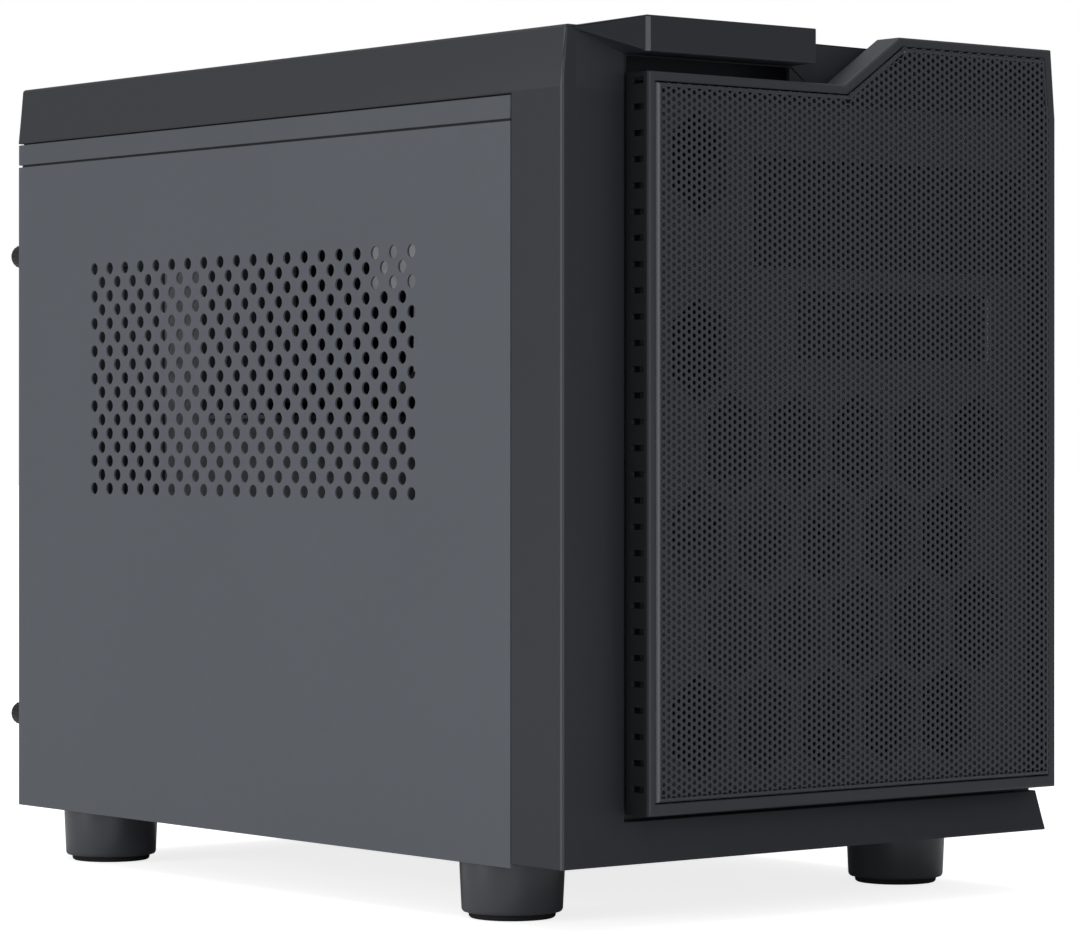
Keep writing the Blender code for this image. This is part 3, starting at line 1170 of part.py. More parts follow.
def make_top():
    """Steel top panel with its visible side strips, and the filter in the shell's roof."""
    back = (PANEL_FRONT, SIDE_DEPTH)
    up = (SIDE_PANEL_HEIGHT + STRIP_GAP, CAP_TOP)
    top = part("top_panel", lambda bm: add_box(bm, (0.0, WIDTH), back, up), PAINTED_STEEL)
    cut(top, "inside", lambda bm: add_box(
        bm, (SHEET, WIDTH - SHEET), (back[0] - CUT_PAST, back[1] - SHEET), (up[0] - CUT_PAST, CAP_INSIDE)))
    first = TOP_VENT_BACK + TOP_SLOT_INSET[1]
    rows = int((TOP_VENT_SIZE[1] - 2 * TOP_SLOT_INSET[1]) / TOP_SLOT_PITCH) + 1
    slot = TOP_VENT_SIZE[0] / 2 - TOP_SLOT_INSET[0] - TOP_SLOT_RIB / 2

    def vents(bm):
        for row in range(rows):
            for left in (TOP_VENT_LEFT + TOP_SLOT_INSET[0], WIDTH / 2 + TOP_SLOT_RIB / 2):
                start = first + TOP_SLOT_PITCH * row
                add_box(bm, (left, left + slot), (start, start + TOP_SLOT_DEPTH), (up[0], up[1] + CUT_PAST))

    cut(top, "vents", vents)
    size = [length - 2 * FIT_GAP for length in TOP_VENT_SIZE]
    start = (TOP_VENT_LEFT + FIT_GAP, TOP_VENT_BACK + FIT_GAP)
    low = filter_up() + FIT_GAP
    sheet = part("top_filter", lambda bm: add_box(
        bm, (start[0], start[0] + size[0]), (start[1], start[1] + size[1]),
        (low, low + FILTER_THICKNESS)), MESH_STEEL)
    cell = [(length - FILTER_BAR) / count for length, count in zip(size, FILTER_GRID)]

    def cells(bm):
        for column in range(FILTER_GRID[0]):
            for row in range(FILTER_GRID[1]):
                left = start[0] + FILTER_BAR + cell[0] * column
                near = start[1] + FILTER_BAR + cell[1] * row
                add_box(bm, (left, left + cell[0] - FILTER_BAR), (near, near + cell[1] - FILTER_BAR),
                        (low - CUT_PAST, low + CUT_PAST))

    cut(sheet, "cells", cells)


def make_fan():
    """Rear fan: square frame with a motor hub on four struts, and a bladed rotor."""
    centre_back = RECESS_INSIDE - FIT_GAP - FAN_DEPTH / 2
    half = FAN_SIZE / 2
    back = (centre_back - FAN_DEPTH / 2, centre_back + FAN_DEPTH / 2)
    frame = part("fan_frame", lambda bm: add_box(
        bm, (FAN_ACROSS - half, FAN_ACROSS + half), back, (FAN_UP - half, FAN_UP + half)), BLACK_PLASTIC)
    cut(frame, "bore", lambda bm: add_round(
        bm, (FAN_ACROSS, centre_back, FAN_UP), FAN_BORE / 2, FAN_DEPTH + CUT_PAST, "Y", sides=28))

    def struts(bm):
        add_box(bm, (FAN_ACROSS - half + SHEET, FAN_ACROSS + half - SHEET), (back[1] - FAN_STRUT, back[1]),
                (FAN_UP - FAN_STRUT / 2, FAN_UP + FAN_STRUT / 2))

    def cross_struts(bm):
        add_box(bm, (FAN_ACROSS - FAN_STRUT / 2, FAN_ACROSS + FAN_STRUT / 2), (back[1] - FAN_STRUT, back[1]),
                (FAN_UP - half + SHEET, FAN_UP + half - SHEET))

    join(frame, "struts", struts)
    join(frame, "cross_struts", cross_struts)
    join(frame, "motor_seat", lambda bm: add_round(
        bm, (FAN_ACROSS, back[1] - FAN_STRUT / 2, FAN_UP), FAN_HUB / 2, FAN_STRUT, "Y", sides=20))
    make_rotor((back[0] + FAN_STRUT, back[1] - FAN_STRUT - FIT_GAP))


def make_rotor(back):
    """Hub and blades; each blade is a swept strip whose pitch falls towards its tip."""
    hub = bpy.data.objects.new("fan_rotor", mesh_from("fan_rotor", lambda bm: bmesh.ops.create_cone(
        bm, cap_ends=True, segments=20, radius1=FAN_HUB / 2, radius2=FAN_HUB / 2 - SHEET,
        depth=back[1] - back[0], matrix=Matrix.Rotation(math.pi / 2, 4, "X"))))
    hub.data.materials.append(finish("fan_rotor_finish", *BLACK_PLASTIC))
    hub.data.shade_smooth()
    hub.data.set_sharp_from_angle(angle=math.radians(35))
    PARTS.objects.link(hub)
    hub.location = at(FAN_ACROSS, (back[0] + back[1]) / 2, FAN_UP)
    tip = FAN_BORE / 2 - BLADE_TIP_GAP
    root = FAN_HUB / 2 - BLADE_SUNK

    def blades(bm):
        for index in range(FAN_BLADES):
            blade = bmesh.ops.create_grid(bm, x_segments=BLADE_STEPS, y_segments=1, size=0.5)["verts"]
            for vert in blade:
                share = vert.co.x + 0.5
                radius = root + (tip - root) * share
                sweep = math.radians(BLADE_SWEEP) * share * share
                pitch = math.radians(BLADE_PITCH[0] + (BLADE_PITCH[1] - BLADE_PITCH[0]) * share)
                half = BLADE_HALF[0] + (BLADE_HALF[1] - BLADE_HALF[0]) * share
                half *= math.copysign(1.0, vert.co.y)
                angle = 2 * math.pi * index / FAN_BLADES + sweep + half * math.cos(pitch) / radius
                vert.co = (radius * math.cos(angle), half * math.sin(pitch), radius * math.sin(angle))

    mesh = mesh_from("blades", blades)
    thick = tool_from("fan_rotor_blades", mesh)
    solid = thick.modifiers.new("thickness", "SOLIDIFY")
    solid.thickness = BLADE_THICKNESS
    solid.offset = 0.0
    thick.location = hub.location
    step = hub.modifiers.new("blades", "BOOLEAN")
    step.operation = "UNION"
    step.solver = "EXACT"
    step.object = thick


def make_feet():
    """Four tapered round feet, each with a soft pad let into its underside."""
    for side, across in (("left", FOOT_FROM_SIDE), ("right", WIDTH - FOOT_FROM_SIDE)):
        for end, back in (("front", FOOT_FROM_ENDS[0]), ("rear", SIDE_DEPTH - FOOT_FROM_ENDS[1])):
            low = PAD_PROUD - FOOT_HEIGHT
            high = -FIT_GAP
            foot = part("foot_%s_%s" % (end, side), lambda bm: add_round(
                bm, (across, back, (low + high) / 2), FOOT_RADIUS[1], high - low, sides=24,
                end_radius=FOOT_RADIUS[0]), DARK_PLASTIC, smooth=True)
            cut(foot, "pad_pocket", lambda bm: add_round(
                bm, (across, back, low), PAD_RADIUS + FIT_GAP, 2 * (PAD_THICKNESS - PAD_PROUD + FIT_GAP),
                sides=16))
            part("foot_pad_%s_%s" % (end, side), lambda bm: add_round(
                bm, (across, back, PAD_THICKNESS / 2 - FOOT_HEIGHT), PAD_RADIUS, PAD_THICKNESS, sides=16),
                SOFT_RUBBER, smooth=True)


make_shell()
make_bay_covers()
make_ports()
make_door()
side_panel("left_side_panel", mirror=False)
side_panel("right_side_panel", mirror=True)
make_thumbscrews()
make_base()
make_front_frame()
make_rear_panel()
make_port_plate()
make_slot_covers()
make_tray()
make_bay_cage()
make_drive_cage()
make_psu_rails()
make_top()
make_fan()
make_feet()
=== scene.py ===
"""Looks for the micro ATX case: detailed pieces, materials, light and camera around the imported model.

Lengths are metres. "across" runs from the left side to the right, "back" from the bezel's front edge
to the rear and "up" from the side panels' lower edge, as in the part's own source.
"""

import math

import bmesh
import bpy
from mathutils import Matrix, Vector


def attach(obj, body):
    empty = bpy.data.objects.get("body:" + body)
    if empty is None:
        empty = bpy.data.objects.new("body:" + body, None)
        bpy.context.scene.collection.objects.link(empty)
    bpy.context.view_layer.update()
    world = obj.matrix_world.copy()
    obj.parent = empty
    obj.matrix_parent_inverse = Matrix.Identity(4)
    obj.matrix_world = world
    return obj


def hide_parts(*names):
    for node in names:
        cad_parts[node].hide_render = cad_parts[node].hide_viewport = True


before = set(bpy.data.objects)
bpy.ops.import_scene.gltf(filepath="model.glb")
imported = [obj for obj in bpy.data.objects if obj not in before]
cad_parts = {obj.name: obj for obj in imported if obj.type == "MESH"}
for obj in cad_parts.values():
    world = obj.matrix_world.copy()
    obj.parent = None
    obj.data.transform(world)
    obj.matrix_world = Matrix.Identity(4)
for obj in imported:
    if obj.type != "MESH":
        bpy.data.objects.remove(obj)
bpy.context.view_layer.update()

# Where the case's own directions start, and its overall sizes
LEFT_X = -0.1250
FRONT_Y = -0.1860
BASE_Z = 0.0222
WIDTH = 0.2500
SIDE_DEPTH = 0.3704
SHEET = 0.0010
FIT_GAP = 0.0003

# Front and top shell
SHELL_UP = 0.2855
SHELL_SIDE_TOP = 0.3088
SHELL_TAPER = 0.0020
SHELL_BEHIND_SIDES = 0.0200
SHELL_ABOVE = 0.3400
CORNER_RADIUS = 0.0009
HOOD_LEFT = 0.0360
HOOD_PROUD = 0.0060
HOOD_TOP = 0.3130
HOOD_RADIUS = 0.0013
PLATE_BACK = 0.0040
BAY_WINDOWS = ((0.0973, 0.2232, 0.1462, 0.0414), (0.1196, 0.1890, 0.1016, 0.0254))

# Side panels, the strip above them and the vent
PANEL_FRONT = 0.0299
PANEL_TOP = 0.2751
PANEL_LIP = 0.0090
REAR_LIP = 0.0040
LIP_SHORT = 0.0002
OVERLAP = 0.0001
STRIP_BOTTOM = 0.2760
STRIP_TOP = 0.2847
VENT_ROWS = 17
VENT_COLUMNS = 20
VENT_PITCH = 0.0116
VENT_ROW = 0.00576
VENT_BACK = 0.0901
VENT_UP = 0.1372
VENT_HOLE = 0.0050
VENT_SIDES = 20
VENT_EDGE = 0.00018

# Dark strips behind the seams, painted shade in the gaps that also blocks the view through them: from and
# to, measured in from the side, back and up
SEAM_FRONT = PANEL_FRONT + 0.0014
LOWER_SEAM_SHADE = ((0.0012, 0.0020), (SEAM_FRONT, SIDE_DEPTH - 0.0012),
              (PANEL_TOP - 0.0020, STRIP_BOTTOM + 0.0010))
UPPER_SEAM_SHADE = ((0.0024, 0.0040), (SEAM_FRONT, SIDE_DEPTH - 0.0006), (STRIP_TOP, SHELL_UP))

# Thumbscrews
SCREW_ACROSS = 0.0060
SCREW_UP = (0.0390, 0.2370)
SCREW_TAB = (0.0118, 0.0180)
SCREW_END = 0.0086
SCREW_PROFILE = [(0.0, -0.0056), (0.0016, -0.0056), (0.0017, -0.0052), (0.0017, 0.0003),
                 (0.0035, 0.0003), (0.0035, 0.0019), (0.0046, 0.0019), (0.0050, 0.0023),
                 (0.0050, SCREW_END - 0.0010), (0.0046, SCREW_END - 0.0003), (0.0041, SCREW_END),
                 (0.0030, SCREW_END), (0.0027, SCREW_END - 0.0007), (0.0, SCREW_END - 0.0007)]
KNURLED_POINTS = (7, 8)
KNURL_DEPTH = 0.955

# Door, its rims at the left, right, bottom and top, and its mesh
DOOR_LEFT = 0.0360
DOOR_BOTTOM = 0.0193
DOOR_LOW_TOP = 0.2932
DOOR_TOP = 0.3131
DOOR_PROUD = 0.0070
NOTCH_START = 0.1350
NOTCH_END = 0.1640
RIM = (0.0034, 0.0041, 0.0045, 0.0036)
MESH_PITCH = 0.0029
MESH_CORNER = MESH_PITCH / math.sqrt(3)
MESH_HOLE = 0.00098
MESH_SHEET = 0.0006
MESH_FRONT = -DOOR_PROUD + 0.00005
MESH_BACK = MESH_FRONT + MESH_SHEET
MESH_MARGIN = 0.0010
MESH_START = 0.0030
MESH_CLEAR = MESH_CORNER * 0.2
PAST_CORNER = 0.0020
SHARE_MICRONS = 5
HEXAGON = [(math.cos(math.radians(60 * k)), math.sin(math.radians(60 * k))) for k in range(6)]
BORDER_STEPS = [(0.0002, -0.0041), (0.0002, -0.0058), (0.00028, -0.0062), (0.0005, -0.0066),
                (0.0009, -0.0069), (0.0013, -DOOR_PROUD), (0.0017, -DOOR_PROUD), (0.0017, -0.0064),
                (0.0013, -0.0060), (0.0011, -0.0056), (0.0011, -0.0041)]
# A dark strip behind the mesh's top edge: painted shade under the door's top rim
TOP_SHADE_INSET = 0.0030
TOP_SHADE_BACK = (-0.0061, -0.0058)
TOP_SHADE_UP = (0.3060, 0.3089)

# Feet and their pads
FEET_ACROSS = {"left": 0.0250, "right": 0.2250}
FEET_BACK = {"front": 0.0600, "rear": 0.3360}
FOOT_SEAT = -0.0003
FOOT_LOW = -0.0199
FOOT_PROFILE = [(0.0, FOOT_SEAT), (0.0200, FOOT_SEAT), (0.01995, -0.0030), (0.0192, FOOT_LOW + 0.0012),
                (0.0190, FOOT_LOW + 0.0006), (0.0186, FOOT_LOW + 0.0001), (0.0182, FOOT_LOW),
                (0.0168, FOOT_LOW), (0.0168, FOOT_LOW + 0.0028), (0.0, FOOT_LOW + 0.0028)]
PAD_LOW = -0.0222
PAD_PROFILE = [(0.0, PAD_LOW), (0.0158, PAD_LOW), (0.0163, PAD_LOW + 0.0004), (0.0165, PAD_LOW + 0.0010),
               (0.0165, PAD_LOW + 0.0050), (0.0, PAD_LOW + 0.0050)]

# Rear fan, and the guard in front of it
FAN_CENTRE = (0.1650, 0.2200)
FAN_MIDDLE = 0.3441
RECESS_OUTSIDE = 0.3581
GUARD_RADIUS = 0.0446
GUARD_SIDES = 72
GUARD_CUT = 0.0060
GUARD_PITCH = 0.0032
GUARD_HOLE = 0.00135
GUARD_FILLED = 0.0410
GUARD_LINES = 16
GUARD_COLUMNS = 14
GUARD_EDGE = 0.00015
HUB_PROFILE = [(0.0, -0.0088), (0.0175, -0.0088), (0.0185, -0.0078), (0.0186, 0.0092), (0.0, 0.0092)]
BLADES = 11
BLADE_HALF_THICK = 0.0006
BLADE_ROOT = 0.0178
BLADE_SPAN = 0.0242
BLADE_SWEEP = 0.35
BLADE_COVER = 0.68
BLADE_PITCH = 0.28
BLADE_CAMBER = 0.0008
BLADE_CHORD = 0.95
BLADE_STEPS = 8
CHORD_STEPS = 6

# Top filter
FILTER_AT = ((0.0403, 0.2097), (0.0853, 0.3297), (0.3072, 0.3088))
FILTER_BAR = 0.0080
WIRE_STEP = 0.0015
WIRE_HALF = 0.0002
WIRE_INSET = 0.0030
LONG_WIRES_UP = (0.0, 0.0003)
CROSS_WIRES_UP = (-0.0002, 0.0001)

# Mesh work
WELD = 0.000002
TURNED_WELD = 0.0000005
SHARP = math.radians(28.0)
NEAR = 0.0001
ON_FACE = 0.00001
UPRIGHT_LENGTH = 0.0040

# Floor, light and camera
FLOOR_SIZE = 12.0
FLOOR_DROP = 0.0001
FLOOR_WHITE = 0.92
FLOOR_FADE = (0.3, 1.2)
FLOOR_LIFT = 0.80
WORLD_LIGHT = 0.28
CAMERA_AT = (-1.0700, -1.3405, 0.1808)
CAMERA_AZIMUTH = math.radians(39.0)
CAMERA_SENSOR = 36.0
CAMERA_LENS = 137.3
CAMERA_SHIFT = -0.0265
CAMERA_CLIP = 0.05


def at(across, back, up):
    """World position of a point given in the case's own directions."""
    return Vector((LEFT_X + across, FRONT_Y + back, BASE_Z + up))


# Materials: features per metre, and the part of a texture's range that a ramp uses

MOTTLE_SCALE = 9.0
GLOSS_SCALE = 160.0
LINE_SCALE = 300.0
LINE_STRETCH = (1.0, 1.0, 40.0)
SPANGLE_SCALE = 260.0
PIT_SCALE = 500.0
NOISE_SPAN = (0.3, 0.7)
CELL_SPAN = (0.1, 0.9)
BUMP_DEPTH = 0.0002


class Finish:
    """A Principled material whose nodes are added one after another."""

    def __init__(self, name, roughness, metallic=0.0, specular=0.5):
        self.material = bpy.data.materials.new(name)
        self.material.use_nodes = True
        self.tree = self.material.node_tree
        self.shader = self.tree.nodes["Principled BSDF"]
        self.shader.inputs["Roughness"].default_value = roughness
        self.shader.inputs["Metallic"].default_value = metallic
        self.shader.inputs["Specular IOR Level"].default_value = specular
        self.place = self.tree.nodes.new("ShaderNodeTexCoord").outputs["Object"]

    def link(self, source, target):
        self.tree.links.new(source, target)

    def noise(self, scale, detail=3.0, stretch=(1.0, 1.0, 1.0), roughness=0.55):
        """Noise at a scale in features per metre."""
        mapping = self.tree.nodes.new("ShaderNodeMapping")
        mapping.inputs["Scale"].default_value = stretch
        self.link(self.place, mapping.inputs["Vector"])
        texture = self.tree.nodes.new("ShaderNodeTexNoise")
        texture.inputs["Scale"].default_value = scale
        texture.inputs["Detail"].default_value = detail
        texture.inputs["Roughness"].default_value = roughness
        self.link(mapping.outputs["Vector"], texture.inputs["Vector"])
        return texture.outputs["Fac"]

    def ramp(self, factor, low, high, span=NOISE_SPAN):
        """A colour that runs between two others."""
        node = self.tree.nodes.new("ShaderNodeValToRGB")
        node.color_ramp.elements[0].position = span[0]
        node.color_ramp.elements[1].position = span[1]
        node.color_ramp.elements[0].color = (*low, 1.0)
        node.color_ramp.elements[1].color = (*high, 1.0)
        self.link(factor, node.inputs["Fac"])
        return node.outputs["Color"]

    def spread(self, factor, low, high):
        """A number that runs between two others."""
        node = self.tree.nodes.new("ShaderNodeMapRange")
        node.inputs["From Min"].default_value = NOISE_SPAN[0]
        node.inputs["From Max"].default_value = NOISE_SPAN[1]
        node.inputs["To Min"].default_value = low
        node.inputs["To Max"].default_value = high
        self.link(factor, node.inputs["Value"])
        return node.outputs["Result"]

    def vector_math(self, operation, source, other=None):
        """A vector put through an operation, with a fixed second vector where it takes one."""
        node = self.tree.nodes.new("ShaderNodeVectorMath")
        node.operation = operation
        self.link(source, node.inputs[0])
        if other is not None:
            node.inputs[1].default_value = other
        return node.outputs[0]

    def patch(self, colour, box, other):
        """The colour, changed to another one inside a box of the case; the boxes paint highlights, shade
        and light.
        """
        low, high = at(*box[0]), at(*box[1])
        away = self.vector_math("SUBTRACT", self.place, (low + high) / 2)
        share = self.vector_math("DIVIDE", away, (high - low) / 2)
        parts = self.tree.nodes.new("ShaderNodeSeparateXYZ")
        self.link(self.vector_math("ABSOLUTE", share), parts.inputs[0])
        largest = parts.outputs[0]
        for axis in (1, 2):
            step = self.tree.nodes.new("ShaderNodeMath")
            step.operation = "MAXIMUM"
            self.link(largest, step.inputs[0])
            self.link(parts.outputs[axis], step.inputs[1])
            largest = step.outputs[0]
        inside = self.tree.nodes.new("ShaderNodeMath")
        inside.operation = "LESS_THAN"
        inside.inputs[1].default_value = 1.0
        self.link(largest, inside.inputs[0])
        mix = self.tree.nodes.new("ShaderNodeMix")
        mix.data_type = "RGBA"
        mix.inputs["B"].default_value = (*linear(other), 1.0)
        self.link(inside.outputs[0], mix.inputs["Factor"])
        self.link(colour, mix.inputs["A"])
        return mix.outputs["Result"]

    def bump(self, height, strength):
        """A shallow bump, as a normal."""
        node = self.tree.nodes.new("ShaderNodeBump")
        node.inputs["Strength"].default_value = strength
        node.inputs["Distance"].default_value = BUMP_DEPTH
        self.link(height, node.inputs["Height"])
        return node.outputs["Normal"]

    def paint(self, colour, roughness, normal):
        """Link the shader's three textured sockets."""
        self.link(colour, self.shader.inputs["Base Color"])
        self.link(roughness, self.shader.inputs["Roughness"])
        self.link(normal, self.shader.inputs["Normal"])


def linear(colour):
    """sRGB 0-255 to linear."""
    shares = [value / 255 for value in colour]
    return tuple(c / 12.92 if c <= 0.04045 else ((c + 0.055) / 1.055) ** 2.4 for c in shares)


def tint(colour, factor):
    """The same colour, lighter or darker."""
    return tuple(min(1.0, value * factor) for value in colour)


def coated(name, colour, roughness, grain, strength, mottle, painted_light=(), specular=0.4):
    """Powder coat or grained plastic: a fine pebble bump, faint broad mottle, uneven gloss and, where
    given, boxes of painted highlights and shade.
    """
    base = linear(colour)
    made = Finish(name, roughness, specular=specular)
    shade = made.ramp(made.noise(MOTTLE_SCALE, 2.0), tint(base, 1 - mottle), tint(base, 1 + mottle))
    for box, other in painted_light:
        shade = made.patch(shade, box, other)
    fine = made.noise(grain, 2.0, roughness=0.6)
    gloss = made.spread(made.noise(GLOSS_SCALE), roughness - 0.02, roughness + 0.03)
    made.paint(shade, gloss, made.bump(fine, strength))
    return made.material


def bright_metal(name, colour):
    """Plain steel with fine drawn lines."""
    base = linear(colour)
    made = Finish(name, 0.3, 1.0)
    lines = made.noise(LINE_SCALE, stretch=LINE_STRETCH)
    shade = made.ramp(lines, tint(base, 0.9), tint(base, 1.05))
    made.paint(shade, made.spread(lines, 0.24, 0.4), made.bump(lines, 0.15))
    return made.material


def galvanised(name, dark, light):
    """Zinc-coated sheet: a pale grey with an uneven spangle."""
    made = Finish(name, 0.48, 0.15)
    cells = made.tree.nodes.new("ShaderNodeTexVoronoi")
    cells.inputs["Scale"].default_value = SPANGLE_SCALE
    made.link(made.place, cells.inputs["Vector"])
    parts = made.tree.nodes.new("ShaderNodeSeparateColor")
    made.link(cells.outputs["Color"], parts.inputs["Color"])
    shade = made.ramp(parts.outputs["Red"], linear(dark), linear(light), CELL_SPAN)
    gloss = made.spread(parts.outputs["Green"], 0.38, 0.58)
    made.paint(shade, gloss, made.bump(made.noise(PIT_SCALE, 2.0), 0.1))
    return made.material


# Boxes of the case whose surface has another colour, as two corners, all painted light: painted highlights
# on bright edges and window walls, painted shade on the door's left wall and painted light on the plate
# behind the door and on the top cover. Each reaches a little past the surface.

PAST = 0.0010
# Height, steps and shift of the painted highlight on the case's front corner
CORNER_TOP = SHELL_UP + 0.0040
CORNER_RISE = 0.0030
CORNER_SHIFT = 0.0003


def window_edge_highlights(window):
    """Boxes round the two upright front edges of a bay window, for painted highlights."""
    left, up, width, height = window
    return [((side - PAST, PLATE_BACK - 0.0005, up), (side + PAST, PLATE_BACK + 0.0012, up + height))
            for side in (left, left + width)]


# Painted light: the plate behind the door lighter than the shell, so that it shows lit through the mesh
PLATE_PAINTED_LIGHT = ((DOOR_LEFT + 0.0065, 0.0020, DOOR_BOTTOM + 0.0020),
               (WIDTH - 0.0030, 0.0330, DOOR_LOW_TOP - 0.0030))
# Painted light: the top cover a touch lighter than the sides, as light from above falls on it
TOP_COVER_PAINTED_LIGHT = ((-PAST, PAST, SHELL_UP + 0.0004), (WIDTH + PAST, SIDE_DEPTH + SHELL_BEHIND_SIDES, SHELL_ABOVE))
# Painted highlight: a light line up the case's front corner, in steps that follow the tapered cover
CASE_CORNER_HIGHLIGHT = ((-PAST, -PAST, 0.0), (0.0012, CORNER_RADIUS, CORNER_TOP))
COVER_CORNER_HIGHLIGHT = [((-PAST, -PAST, CORNER_TOP + CORNER_RISE * step),
                 (0.0013 + CORNER_SHIFT * step, CORNER_RADIUS, CORNER_TOP + CORNER_RISE * (step + 1)))
                for step in range(6)]
# Painted highlight along the hood's front-left edge
HOOD_CORNER_HIGHLIGHT = ((HOOD_LEFT - PAST, -HOOD_PROUD - 0.0005, DOOR_LOW_TOP),
               (HOOD_LEFT + HOOD_RADIUS, -HOOD_PROUD + 0.0014, HOOD_TOP))
# Painted highlight along the door rim's outer-left edge
DOOR_CORNER_HIGHLIGHT = ((DOOR_LEFT - PAST, -0.0065, DOOR_BOTTOM), (DOOR_LEFT + 0.0013, -0.0059, DOOR_LOW_TOP))
# Painted shade: the door's left wall darker, where the pillar keeps the side light off it
DOOR_LEFT_WALL_SHADE = ((DOOR_LEFT - PAST, -0.0058, DOOR_BOTTOM), (DOOR_LEFT + 0.0008, 0.0080, DOOR_LOW_TOP))
# Painted highlight along the left edge of the mesh's rounded border
MESH_LEFT_HIGHLIGHT = ((DOOR_LEFT, -DOOR_PROUD - PAST, DOOR_BOTTOM + 0.0050),
                  (DOOR_LEFT + 0.0050, 0.0, DOOR_LOW_TOP - 0.0040))

# Colours of the painted highlights, shade and light on the shell, the door and the mesh border
SHELL_PAINTED_LIGHT = [(PLATE_PAINTED_LIGHT, (116, 118, 124)), (TOP_COVER_PAINTED_LIGHT, (53, 55, 61))]
# Painted highlights on the upright walls of the bay windows behind the mesh
SHELL_PAINTED_LIGHT += [(box, (205, 208, 214)) for window in BAY_WINDOWS for box in window_edge_highlights(window)]
SHELL_PAINTED_LIGHT += [(box, (84, 86, 90)) for box in COVER_CORNER_HIGHLIGHT]
SHELL_PAINTED_LIGHT += [(CASE_CORNER_HIGHLIGHT, (86, 88, 92)), (HOOD_CORNER_HIGHLIGHT, (110, 112, 117))]
DOOR_PAINTED_LIGHT = [(DOOR_LEFT_WALL_SHADE, (40, 41, 45)), (DOOR_CORNER_HIGHLIGHT, (74, 76, 81))]
BORDER_PAINTED_HIGHLIGHT = [(MESH_LEFT_HIGHLIGHT, (114, 116, 122))]

# Colour, roughness, grain per metre, strength of the grain, share of mottle and, on three finishes, the
# boxes of painted highlights and shade
PANEL_PAINT = coated("panel_powder_coat", (91, 96, 103), 0.55, 3000.0, 0.22, 0.02)
STRIP_PAINT = coated("strip_powder_coat", (87, 91, 97), 0.55, 3000.0, 0.22, 0.02)
CHASSIS_PAINT = coated("chassis_powder_coat", (42, 43, 46), 0.5, 3000.0, 0.2, 0.04)
REAR_PAINT = coated("rear_powder_coat", (54, 56, 60), 0.5, 3000.0, 0.2, 0.04)
SHELL_PLASTIC = coated("shell_plastic", (48, 50, 56), 0.5, 2400.0, 0.2, 0.03, SHELL_PAINTED_LIGHT)
DOOR_PLASTIC = coated("door_plastic", (61, 63, 69), 0.5, 2400.0, 0.18, 0.03, DOOR_PAINTED_LIGHT)
MESH_PAINT = coated("mesh_powder_coat", (66, 68, 75), 0.5, 3200.0, 0.15, 0.03)
BORDER_PAINT = coated("mesh_border_coat", (66, 68, 75), 0.4, 3200.0, 0.1, 0.03, BORDER_PAINTED_HIGHLIGHT)
COVER_PLASTIC = coated("cover_plastic", (40, 42, 46), 0.5, 2400.0, 0.2, 0.03)
FOOT_PLASTIC = coated("foot_plastic", (67, 69, 75), 0.3, 2000.0, 0.05, 0.01, specular=0.6)
BLACK_PLASTIC = coated("black_plastic", (30, 31, 33), 0.45, 2200.0, 0.15, 0.05)
BUTTON_PLASTIC = coated("button_plastic", (52, 54, 58), 0.35, 2200.0, 0.1, 0.03)
RUBBER = coated("pad_rubber", (34, 34, 35), 0.85, 1800.0, 0.4, 0.06)
BRIGHT_STEEL = bright_metal("bright_steel", (196, 198, 202))
PLATED = galvanised("plated_steel", (143, 145, 149), (160, 162, 166))


# Building helpers


def show(name, data):
    """A new object in the scene."""
    item = bpy.data.objects.new(name, data)
    bpy.context.scene.collection.objects.link(item)
    return item


def stored(name, bm):
    """A mesh that takes up a bmesh."""
    mesh = bpy.data.meshes.new(name)
    bm.to_mesh(mesh)
    bm.free()
    return mesh


def mesh_of(name, bm):
    """A mesh from a bmesh, with its normals turned out."""
    bmesh.ops.recalc_face_normals(bm, faces=bm.faces)
    return stored(name, bm)


def evaluated_mesh(item):
    """The item's mesh with its modifiers applied, or what its curve makes."""
    bpy.context.view_layer.update()
    return bpy.data.meshes.new_from_object(item.evaluated_get(bpy.context.evaluated_depsgraph_get()))


def add_piece(name, mesh, body, material, nodes, smooth=35.0):
    """A piece of the scene that rides on a body and stands for CAD nodes."""
    piece = show(name, mesh)
    mesh.materials.clear()
    mesh.materials.append(material)
    if smooth:
        mesh.shade_smooth()
        mesh.set_sharp_from_angle(angle=math.radians(smooth))
    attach(piece, body)
    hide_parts(*nodes)
    return piece


def even_normals(piece):
    """Keep flat faces flat beside rounded edges."""
    piece.modifiers.new("even_normals", "WEIGHTED_NORMAL").keep_sharp = True


def dressed(node, name, body, material, width, shortest, segments=2, rounds=(), cutter=None, smooth=35.0):
    """A copy of a CAD node with its facets merged and its longer edges rounded, some of them more."""
    bm = bmesh.new()
    bm.from_mesh(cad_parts[node].data)
    bmesh.ops.remove_doubles(bm, verts=bm.verts, dist=WELD)
    if cutter:
        bm = carved(bm, cutter)
    for picks, radius in rounds:
        wide = [edge for edge in bm.edges if len(edge.link_faces) == 2 and picks(edge)
                and edge.calc_face_angle(0.0) > SHARP]
        bmesh.ops.bevel(bm, geom=wide, offset=radius, segments=5, profile=0.5, affect="EDGES",
                        clamp_overlap=True)
    chosen = [edge for edge in bm.edges if len(edge.link_faces) == 2
              and edge.calc_length() >= shortest and edge.calc_face_angle(0.0) > SHARP]
    if chosen:
        bmesh.ops.bevel(bm, geom=chosen, offset=width, segments=segments, profile=0.5, affect="EDGES")
    even_normals(add_piece(name, stored(name, bm), body, material, (node,), smooth))


